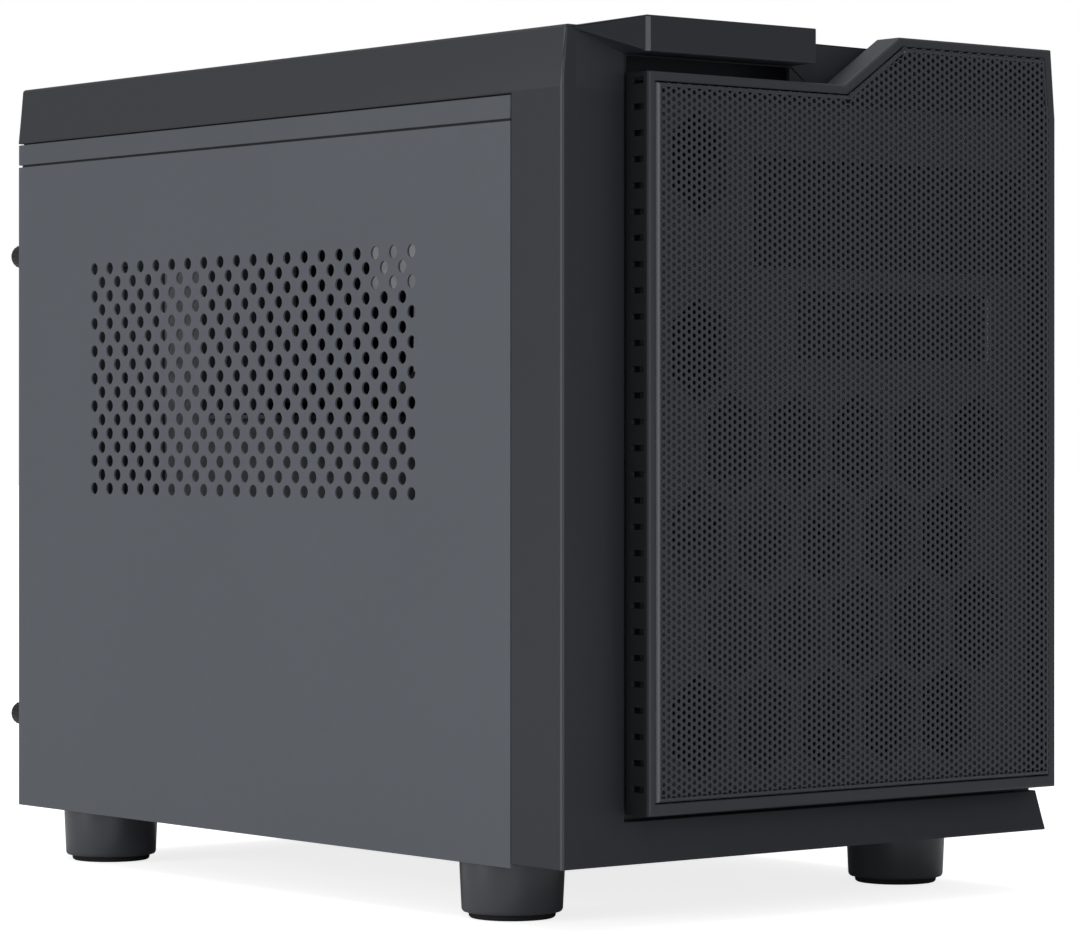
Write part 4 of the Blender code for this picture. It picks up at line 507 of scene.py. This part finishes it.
def carved(bm, cutter):
    """The body with what the cutter function draws taken away."""
    body = show("body", stored("body", bm))
    tool = bmesh.new()
    cutter(tool)
    taken = show("cutter", stored("cutter", tool))
    step = body.modifiers.new("cut", "BOOLEAN")
    step.operation = "DIFFERENCE"
    step.solver = "EXACT"
    step.object = taken
    mesh = evaluated_mesh(body)
    bpy.data.objects.remove(body, do_unlink=True)
    bpy.data.objects.remove(taken, do_unlink=True)
    out = bmesh.new()
    out.from_mesh(mesh)
    bpy.data.meshes.remove(mesh)
    return out


def add_box(bm, across, back, up):
    """A box between the low and high value in each direction."""
    lo = at(across[0], back[0], up[0])
    hi = at(across[1], back[1], up[1])
    size = Matrix.Diagonal((*(hi - lo), 1.0))
    bmesh.ops.create_cube(bm, size=1.0, matrix=Matrix.Translation((lo + hi) / 2) @ size)


UPRIGHT = Matrix.Identity(4)
ALONG_BACK = Matrix.Rotation(-math.pi / 2, 4, "X")


def lathe(bm, profile, centre, steps, turn=UPRIGHT, wave=None):
    """Turn a profile of (radius, height) points about an axis through the centre."""
    place = Matrix.Translation(centre) @ turn
    rings = []
    for step in range(steps):
        angle = 2 * math.pi * step / steps
        ring = []
        for index, (radius, height) in enumerate(profile):
            reach = radius * (wave(step, index) if wave else 1.0)
            point = Vector((reach * math.cos(angle), reach * math.sin(angle), height))
            ring.append(bm.verts.new(place @ point))
        rings.append(ring)
    for here, there in zip(rings, rings[1:] + rings[:1]):
        for index in range(len(profile) - 1):
            bm.faces.new((here[index], there[index], there[index + 1], here[index + 1]))
    bmesh.ops.remove_doubles(bm, verts=[vert for ring in rings for vert in ring], dist=TURNED_WELD)


def add_turned(node, profile, centre, material, steps, turn=UPRIGHT, wave=None, smooth=40.0):
    """A turned piece of the chassis that stands for one CAD node."""
    bm = bmesh.new()
    lathe(bm, profile, centre, steps, turn, wave)
    add_piece(node + "_turned", mesh_of(node, bm), "chassis", material, (node,), smooth)


def filled_outline(name, loops, thickness, bevel):
    """A flat plate with holes, made by a filled 2D curve: loops are lists of (u, v) points."""
    curve = bpy.data.curves.new(name, "CURVE")
    curve.dimensions = "2D"
    curve.fill_mode = "BOTH"
    curve.extrude = thickness / 2 - bevel
    curve.bevel_depth = bevel
    curve.offset = -bevel
    curve.bevel_resolution = 1
    for loop in loops:
        spline = curve.splines.new("POLY")
        spline.points.add(len(loop) - 1)
        for point, (u, v) in zip(spline.points, loop):
            point.co = (u, v, 0.0, 1.0)
        spline.use_cyclic_u = True
    flat = show(name, curve)
    mesh = evaluated_mesh(flat)
    bpy.data.objects.remove(flat, do_unlink=True)
    bpy.data.curves.remove(curve)
    bm = bmesh.new()
    bm.from_mesh(mesh)
    bmesh.ops.remove_doubles(bm, verts=bm.verts, dist=WELD)
    bpy.data.meshes.remove(mesh)
    return bm


def circle(u, v, radius, sides):
    """Points of a circle."""
    angles = [2 * math.pi * k / sides for k in range(sides)]
    return [(u + radius * math.cos(angle), v + radius * math.sin(angle)) for angle in angles]


# Left side panel


def make_side_panel():
    """A sheet with 332 round holes whose edges are slightly rounded, and its folded lips."""
    loops = [[(PANEL_FRONT, 0.0), (SIDE_DEPTH, 0.0), (SIDE_DEPTH, PANEL_TOP), (PANEL_FRONT, PANEL_TOP)]]
    for row in range(VENT_ROWS):
        odd = row % 2
        for column in range(VENT_COLUMNS - odd):
            back = VENT_BACK + VENT_PITCH * (column + odd / 2)
            loops.append(circle(back, VENT_UP + VENT_ROW * row, VENT_HOLE / 2, VENT_SIDES))
    bm = filled_outline("left_side_sheet", loops, SHEET, VENT_EDGE)
    upright = Matrix(((0, 0, -1, LEFT_X + SHEET / 2), (1, 0, 0, FRONT_Y), (0, 1, 0, BASE_Z), (0, 0, 0, 1)))
    bmesh.ops.transform(bm, matrix=upright, verts=bm.verts)
    height = (LIP_SHORT, PANEL_TOP - LIP_SHORT)
    rear = (SIDE_DEPTH - SHEET, SIDE_DEPTH - OVERLAP)
    add_box(bm, (SHEET - OVERLAP, PANEL_LIP), (PANEL_FRONT, PANEL_FRONT + SHEET), height)
    add_box(bm, (SHEET - OVERLAP, REAR_LIP), rear, height)
    for up in SCREW_UP:
        tab = (up - SCREW_TAB[1] / 2, up + SCREW_TAB[1] / 2)
        add_box(bm, (REAR_LIP - OVERLAP, SCREW_TAB[0]), rear, tab)
    mesh = mesh_of("vented_side_panel", bm)
    even_normals(add_piece("vented_side_panel", mesh, "chassis", PANEL_PAINT, ("left_side_panel",)))


# Door mesh and its border


def door_outline(left, right, bottom, top):
    """Outline of the door, moved inward by a margin on each side."""
    slope = (DOOR_TOP - DOOR_LOW_TOP) / (NOTCH_END - NOTCH_START)
    shift = top * math.tan(math.atan(slope) / 2)
    taper = SHELL_TAPER * (DOOR_TOP - SHELL_UP) / (SHELL_SIDE_TOP - SHELL_UP)
    return [(DOOR_LEFT + left, DOOR_BOTTOM + bottom), (WIDTH - right, DOOR_BOTTOM + bottom),
            (WIDTH - right, SHELL_UP), (WIDTH - right - taper, DOOR_TOP - top),
            (NOTCH_END + shift, DOOR_TOP - top), (NOTCH_START + shift, DOOR_LOW_TOP - top),
            (DOOR_LEFT + left, DOOR_LOW_TOP - top)]


def inside_outline(outline, point, margin):
    """True if a point lies inside a closed outline by at least the margin."""
    inside = False
    u, v = point
    for (u0, v0), (u1, v1) in zip(outline, outline[1:] + outline[:1]):
        if (v0 > v) != (v1 > v) and u < u0 + (v - v0) * (u1 - u0) / (v1 - v0):
            inside = not inside
        edge = Vector((u1 - u0, v1 - v0))
        away = Vector((u - u0, v - v0))
        along = edge.normalized().dot(away)
        beside = Vector((-edge.y, edge.x)).normalized().dot(away)
        if abs(beside) < margin and -PAST_CORNER < along < edge.length + PAST_CORNER:
            return False
    return inside


def mesh_key(across, up, back):
    """A corner's place in whole steps, so that neighbouring cells share it."""
    return (round(across * 1e6 / SHARE_MICRONS), round(up * 1e6 / SHARE_MICRONS), back)


def mesh_ring(bm, shared, across, up, back, radius):
    """The six corners of a hexagon on one face of the sheet."""
    ring = []
    for c, s in HEXAGON:
        place = (across + radius * c, up + radius * s, back)
        key = mesh_key(*place)
        if key not in shared:
            shared[key] = bm.verts.new(at(place[0], back, place[1]))
        ring.append(shared[key])
    return ring


def add_cell(bm, shared, across, up):
    """One cell of the sheet: both faces round a hexagonal hole, and the hole's wall."""
    holes = []
    for back in (MESH_FRONT, MESH_BACK):
        cell = mesh_ring(bm, shared, across, up, back, MESH_CORNER)
        hole = mesh_ring(bm, shared, across, up, back, MESH_HOLE)
        for k in range(6):
            n = (k + 1) % 6
            loop = (cell[k], cell[n], hole[n], hole[k])
            bm.faces.new(loop if back == MESH_FRONT else loop[::-1])
        holes.append(hole)
    near, far = holes
    for k in range(6):
        n = (k + 1) % 6
        bm.faces.new((near[k], near[n], far[n], far[k]))


def close_edges(bm, shared):
    """Walls between the two faces along the sheet's open border."""
    for edge in [edge for edge in bm.edges if len(edge.link_faces) == 1]:
        near = [vert for vert in edge.verts if abs(vert.co.y - (FRONT_Y + MESH_FRONT)) < ON_FACE]
        if len(near) == 2:
            far = [shared.get(mesh_key(vert.co.x - LEFT_X, vert.co.z - BASE_Z, MESH_BACK)) for vert in near]
            if all(far):
                bm.faces.new((near[0], near[1], far[1], far[0]))


def make_door_mesh():
    """The perforated sheet in two halves."""
    margins = [margin + FIT_GAP for margin in RIM]
    outline = door_outline(*[margin + MESH_MARGIN for margin in margins])
    column_step = MESH_PITCH * math.sqrt(3) / 2
    start = DOOR_LEFT + margins[0] + MESH_START
    split = (DOOR_TOP + DOOR_BOTTOM) / 2
    for half in ("lower", "upper"):
        bm = bmesh.new()
        shared = {}
        for column in range(int((WIDTH - DOOR_LEFT) / column_step)):
            across = start + column_step * column
            for row in range(int((DOOR_TOP - DOOR_BOTTOM) / MESH_PITCH) + 1):
                up = DOOR_BOTTOM + MESH_PITCH * (row + (column % 2) / 2)
                belongs = (up < split) == (half == "lower")
                if belongs and inside_outline(outline, (across, up), MESH_CLEAR):
                    add_cell(bm, shared, across, up)
        close_edges(bm, shared)
        name = "door_mesh_" + half
        add_piece(name, mesh_of(name, bm), "door", MESH_PAINT, ("door_mesh",), 20.0)


def make_mesh_border():
    """The sheet's rounded border, and a dark strip behind the sheet's top edge: painted shade under the
    door's top rim.
    """
    bm = bmesh.new()
    loops = []
    for inset, back in BORDER_STEPS:
        outline = door_outline(*[margin + FIT_GAP + inset for margin in RIM])
        loops.append([bm.verts.new(at(across, back, up)) for across, up in outline])
    for here, there in zip(loops, loops[1:] + loops[:1]):
        for k in range(len(here)):
            n = (k + 1) % len(here)
            bm.faces.new((here[k], here[n], there[n], there[k]))
    add_piece("door_mesh_border", mesh_of("door_mesh_border", bm), "door", BORDER_PAINT, ("door_mesh",))
    bm = bmesh.new()
    add_box(bm, (NOTCH_END + TOP_SHADE_INSET, WIDTH - RIM[1] - TOP_SHADE_INSET), TOP_SHADE_BACK, TOP_SHADE_UP)
    add_piece("door_top_shade_strip", mesh_of("door_top_shade_strip", bm), "door", BLACK_PLASTIC, ("door_mesh",), 0)


# Feet and thumbscrews


def make_feet():
    """Turned feet with a rounded lower edge, and their pads."""
    for side, across in FEET_ACROSS.items():
        for end, back in FEET_BACK.items():
            centre = at(across, back, 0.0)
            add_turned("foot_%s_%s" % (end, side), FOOT_PROFILE, centre, FOOT_PLASTIC, 72)
            add_turned("foot_pad_%s_%s" % (end, side), PAD_PROFILE, centre, RUBBER, 64)


def knurl(step, index):
    """Grooves round the head of a thumbscrew: two steps in four lie deeper."""
    return KNURL_DEPTH if index in KNURLED_POINTS and step % 4 in (0, 1) else 1.0


def make_thumbscrews():
    """Knurled thumbscrews with a shallow hollow in the head."""
    for side, across in (("left", SCREW_ACROSS), ("right", WIDTH - SCREW_ACROSS)):
        for level, up in zip(("lower", "upper"), SCREW_UP):
            add_turned("thumbscrew_%s_%s" % (side, level), SCREW_PROFILE, at(across, SIDE_DEPTH, up),
                       BLACK_PLASTIC, 80, ALONG_BACK, knurl, 30.0)


# Seams, rear fan and filter


def make_seam_shade_strips():
    """Dark strips behind the seams below and above the top panel's visible edge: painted shade in the gaps,
    which also blocks the view through them.
    """
    bm = bmesh.new()
    for (near, far), back, up in (LOWER_SEAM_SHADE, UPPER_SEAM_SHADE):
        for across in ((near, far), (WIDTH - far, WIDTH - near)):
            add_box(bm, across, back, up)
    add_piece("seam_shade_strips", mesh_of("seam_shade_strips", bm), "chassis", BLACK_PLASTIC, ("top_panel",), 0)


def guard_place():
    """Turns a flat shape to face the rear, in the middle of the sheet in front of the fan."""
    centre = at(FAN_CENTRE[0], RECESS_OUTSIDE - SHEET / 2, FAN_CENTRE[1])
    return Matrix.Translation(centre) @ Matrix.Rotation(math.pi / 2, 4, "X")


def fan_circle(bm):
    """The round opening that the fine guard fills."""
    bmesh.ops.create_cone(bm, cap_ends=True, segments=GUARD_SIDES, radius1=GUARD_RADIUS,
                          radius2=GUARD_RADIUS, depth=GUARD_CUT, matrix=guard_place())


def make_grille():
    """Fine honeycomb guard over the rear fan."""
    loops = [circle(0.0, 0.0, GUARD_RADIUS, GUARD_SIDES)]
    for line in range(-GUARD_LINES, GUARD_LINES + 1):
        v = GUARD_PITCH * math.sqrt(3) / 2 * line
        for column in range(-GUARD_COLUMNS, GUARD_COLUMNS + 1):
            u = GUARD_PITCH * (column + (line % 2) / 2)
            if math.hypot(u, v) < GUARD_FILLED:
                loops.append([(u + GUARD_HOLE * s, v + GUARD_HOLE * c) for c, s in HEXAGON])
    bm = filled_outline("rear_fan_grille", loops, SHEET, GUARD_EDGE)
    bmesh.ops.transform(bm, matrix=guard_place(), verts=bm.verts)
    add_piece("rear_fan_grille", mesh_of("rear_fan_grille", bm), "chassis", REAR_PAINT, ("rear_panel",))


def blade_rows(index):
    """A blade's points from root to tip, as offsets from the middle of the fan."""
    rows = []
    for step in range(BLADE_STEPS + 1):
        share = step / BLADE_STEPS
        radius = BLADE_ROOT + BLADE_SPAN * share
        sweep = 2 * math.pi * index / BLADES + BLADE_SWEEP * share * share
        half = BLADE_COVER * 2 * math.pi * radius / BLADES
        row = []
        for along in range(CHORD_STEPS + 1):
            place = 2 * along / CHORD_STEPS - 1
            depth = half * place * BLADE_PITCH + BLADE_CAMBER * place * place
            angle = sweep + half * place * BLADE_CHORD / radius
            row.append(Vector((radius * math.cos(angle), depth, radius * math.sin(angle))))
        rows.append(row)
    return rows


def make_blades():
    """Fan rotor: a rounded hub and wide, flat-pitched blades."""
    centre = at(FAN_CENTRE[0], FAN_MIDDLE, FAN_CENTRE[1])
    bm = bmesh.new()
    lathe(bm, HUB_PROFILE, centre, 64, ALONG_BACK)
    for index in range(BLADES):
        rows = blade_rows(index)
        front, rear = [[[bm.verts.new(centre + point + Vector((0.0, shift, 0.0))) for point in row]
                        for row in rows] for shift in (-BLADE_HALF_THICK, BLADE_HALF_THICK)]
        for side in (front, rear):
            for here, there in zip(side, side[1:]):
                for k in range(CHORD_STEPS):
                    bm.faces.new((here[k], here[k + 1], there[k + 1], there[k]))
        for k in range(BLADE_STEPS):
            for end in (0, CHORD_STEPS):
                bm.faces.new((front[k][end], front[k + 1][end], rear[k + 1][end], rear[k][end]))
        for k in range(CHORD_STEPS):
            for end in (0, BLADE_STEPS):
                bm.faces.new((front[end][k], front[end][k + 1], rear[end][k + 1], rear[end][k]))
    add_piece("fan_blades", mesh_of("fan_blades", bm), "fan_rotor", BLACK_PLASTIC, ("fan_rotor",), 40.0)


def wires(start, end):
    """Low and high side of each wire between two rims of the filter."""
    middles = [start + FILTER_BAR / 2 + WIRE_STEP * (index + 0.5)
               for index in range(int((end - start - FILTER_BAR) / WIRE_STEP))]
    return [(middle - WIRE_HALF, middle + WIRE_HALF) for middle in middles]


def make_filter_wires():
    """Fine woven mesh in the cells of the top filter."""
    (left, right), (front, rear), (low, high) = FILTER_AT
    level = (low + high) / 2
    bm = bmesh.new()
    for across in wires(left, right):
        add_box(bm, across, (front + WIRE_INSET, rear - WIRE_INSET), [level + up for up in LONG_WIRES_UP])
    for back in wires(front, rear):
        add_box(bm, (left + WIRE_INSET, right - WIRE_INSET), back, [level + up for up in CROSS_WIRES_UP])
    mesh = mesh_of("dust_filter_weave", bm)
    add_piece("dust_filter_weave", mesh, "chassis", BLACK_PLASTIC, ("top_filter",), 0)


def upright_edge(across, back, reach=NEAR):
    """Picks long upright edges at a place, or within some reach to the right of it."""
    def picks(edge):
        places = [vert.co - at(across, back, 0.0) for vert in edge.verts]
        near = all(-NEAR < place.x < reach and abs(place.y) < NEAR for place in places)
        return near and abs(places[0].z - places[1].z) > UPRIGHT_LENGTH
    return picks


# All pieces. The numbers in a dressed piece are the width of its rounded edges, the shortest edge that
# is rounded and, on the shell, the steps of each rounding.

SHELL_ROUNDS = ((upright_edge(0.0, 0.0, SHELL_TAPER + NEAR), CORNER_RADIUS),
                (upright_edge(HOOD_LEFT, -HOOD_PROUD), HOOD_RADIUS))

make_side_panel()
make_door_mesh()
make_mesh_border()
make_feet()
make_thumbscrews()
dressed("front_and_top_shell", "moulded_shell", "chassis", SHELL_PLASTIC, 0.0005, 0.006, 4, SHELL_ROUNDS,
        smooth=20.0)
make_seam_shade_strips()
make_grille()
make_blades()
make_filter_wires()
dressed("door_frame", "door_surround", "door", DOOR_PLASTIC, 0.0003, 0.0045)
dressed("right_side_panel", "plain_side_panel", "chassis", PANEL_PAINT, 0.0003, 0.003)
dressed("top_panel", "top_strip_panel", "chassis", STRIP_PAINT, 0.0003, 0.003)
dressed("bay_cover_5in", "wide_bay_cover", "chassis", COVER_PLASTIC, 0.0003, 0.003)
dressed("bay_cover_3in", "narrow_bay_cover", "chassis", COVER_PLASTIC, 0.0003, 0.003)
dressed("rear_panel", "rear_wall", "chassis", REAR_PAINT, 0.0002, 0.004, cutter=fan_circle)
dressed("port_cover_plate", "port_blank", "chassis", PLATED, 0.0003, 0.002)
dressed("fan_frame", "fan_housing", "chassis", BLACK_PLASTIC, 0.0006, 0.02)
for number, finish in enumerate((PLATED, REAR_PAINT, REAR_PAINT, REAR_PAINT), 1):
    dressed("slot_cover_%d" % number, "slot_blank_%d" % number, "chassis", finish, 0.0002, 0.002)
dressed("slot_clamp_bar", "clamp_bar", "chassis", REAR_PAINT, 0.0002, 0.002)
dressed("motherboard_tray", "board_tray", "chassis", CHASSIS_PAINT, 0.0002, 0.004)
dressed("base_pan", "base_plate", "chassis", CHASSIS_PAINT, 0.0002, 0.004)
dressed("top_filter", "dust_filter", "chassis", BLACK_PLASTIC, 0.0002, 0.004)
for button in ("power_button", "reset_button"):
    dressed(button, button + "_cap", button, BUTTON_PLASTIC, 0.0002, 0.0)

# Nodes that keep the CAD model's mesh and get a material
KEPT = {
    CHASSIS_PAINT: ("front_frame", "drive_cage", "psu_rail_left", "psu_rail_right"),
    PLATED: ("bay_cage",),
    BLACK_PLASTIC: ("drive_sled_1", "drive_sled_2", "port_board", "audio_socket_1", "audio_socket_2"),
    BRIGHT_STEEL: ("usb_socket_1", "usb_socket_2", "door_pin_lower", "door_pin_upper", "door_magnet"),
}
for finish, nodes in KEPT.items():
    for node in nodes:
        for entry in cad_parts[node].material_slots:
            entry.material = finish


# Floor, light and camera


def make_floor():
    """A white floor that keeps the object's shadow and fades to plain white away from it."""
    bm = bmesh.new()
    bmesh.ops.create_grid(bm, x_segments=1, y_segments=1, size=FLOOR_SIZE)
    mesh = stored("floor", bm)
    floor = show("floor", mesh)
    floor.location.z = -FLOOR_DROP
    material = bpy.data.materials.new("floor_paint")
    material.use_nodes = True
    tree = material.node_tree
    shader = tree.nodes["Principled BSDF"]
    shader.inputs["Base Color"].default_value = (FLOOR_WHITE, FLOOR_WHITE, FLOOR_WHITE, 1.0)
    shader.inputs["Roughness"].default_value = 0.9
    shader.inputs["Emission Color"].default_value = (1.0, 1.0, 1.0, 1.0)
    path = tree.nodes.new("ShaderNodeLightPath")
    place = tree.nodes.new("ShaderNodeTexCoord")
    length = tree.nodes.new("ShaderNodeVectorMath")
    length.operation = "LENGTH"
    tree.links.new(place.outputs["Object"], length.inputs[0])
    fade = tree.nodes.new("ShaderNodeMapRange")
    fade.inputs["From Min"].default_value = FLOOR_FADE[0]
    fade.inputs["From Max"].default_value = FLOOR_FADE[1]
    fade.inputs["To Min"].default_value = FLOOR_LIFT
    fade.inputs["To Max"].default_value = 1.0
    tree.links.new(length.outputs["Value"], fade.inputs["Value"])
    lift = tree.nodes.new("ShaderNodeMath")
    lift.operation = "MULTIPLY"
    tree.links.new(path.outputs["Is Camera Ray"], lift.inputs[0])
    tree.links.new(fade.outputs["Result"], lift.inputs[1])
    tree.links.new(lift.outputs[0], shader.inputs["Emission Strength"])
    mesh.materials.append(material)


def make_world():
    """Soft light from all round, and a white background."""
    world = bpy.data.worlds.new("studio")
    bpy.context.scene.world = world
    world.use_nodes = True
    nodes = world.node_tree.nodes
    links = world.node_tree.links
    background = nodes["Background"]
    background.inputs["Color"].default_value = (1.0, 1.0, 1.0, 1.0)
    path = nodes.new("ShaderNodeLightPath")
    either = nodes.new("ShaderNodeMath")
    either.operation = "MAXIMUM"
    links.new(path.outputs["Is Camera Ray"], either.inputs[0])
    links.new(path.outputs["Is Transmission Ray"], either.inputs[1])
    strength = nodes.new("ShaderNodeMapRange")
    strength.inputs["To Min"].default_value = WORLD_LIGHT
    strength.inputs["To Max"].default_value = 1.0
    links.new(either.outputs[0], strength.inputs["Value"])
    links.new(strength.outputs["Result"], background.inputs["Strength"])


def add_lamp(name, place, aim, width, height, power):
    """A soft rectangular lamp that faces a point."""
    light = bpy.data.lights.new(name, "AREA")
    light.shape = "RECTANGLE"
    light.size = width
    light.size_y = height
    light.energy = power
    lamp = show(name, light)
    lamp.location = place
    lamp.rotation_euler = (Vector(aim) - Vector(place)).to_track_quat("-Z", "Y").to_euler()


def make_camera():
    """The camera that took the photo, as fitted to it."""
    data = bpy.data.cameras.new("camera")
    data.sensor_width = CAMERA_SENSOR
    data.lens = CAMERA_LENS
    data.shift_y = CAMERA_SHIFT
    data.clip_start = CAMERA_CLIP
    camera = show("camera", data)
    camera.location = CAMERA_AT
    camera.rotation_euler = (math.pi / 2, 0.0, -CAMERA_AZIMUTH)
    bpy.context.scene.camera = camera


make_floor()
make_world()

# Each lamp's place, the point it faces, its width and height, and its power in watts
add_lamp("side_lamp", (-3.7, 0.9, 0.75), (0.0, 0.0, 0.15), 1.6, 1.4, 34.0)
add_lamp("top_lamp", (-0.3, 0.3, 2.6), (0.0, 0.0, 0.2), 2.2, 2.2, 29.0)
add_lamp("front_fill", (-1.35, -1.75, 0.55), (0.0, 0.0, 0.1), 0.5, 1.4, 6.2)
add_lamp("inside_lamp", at(0.0250, 0.2100, 0.2600), at(0.1000, 0.2100, 0.1850), 0.24, 0.02, 0.06)
make_camera()
bpy.context.scene.view_settings.view_transform = "Standard"
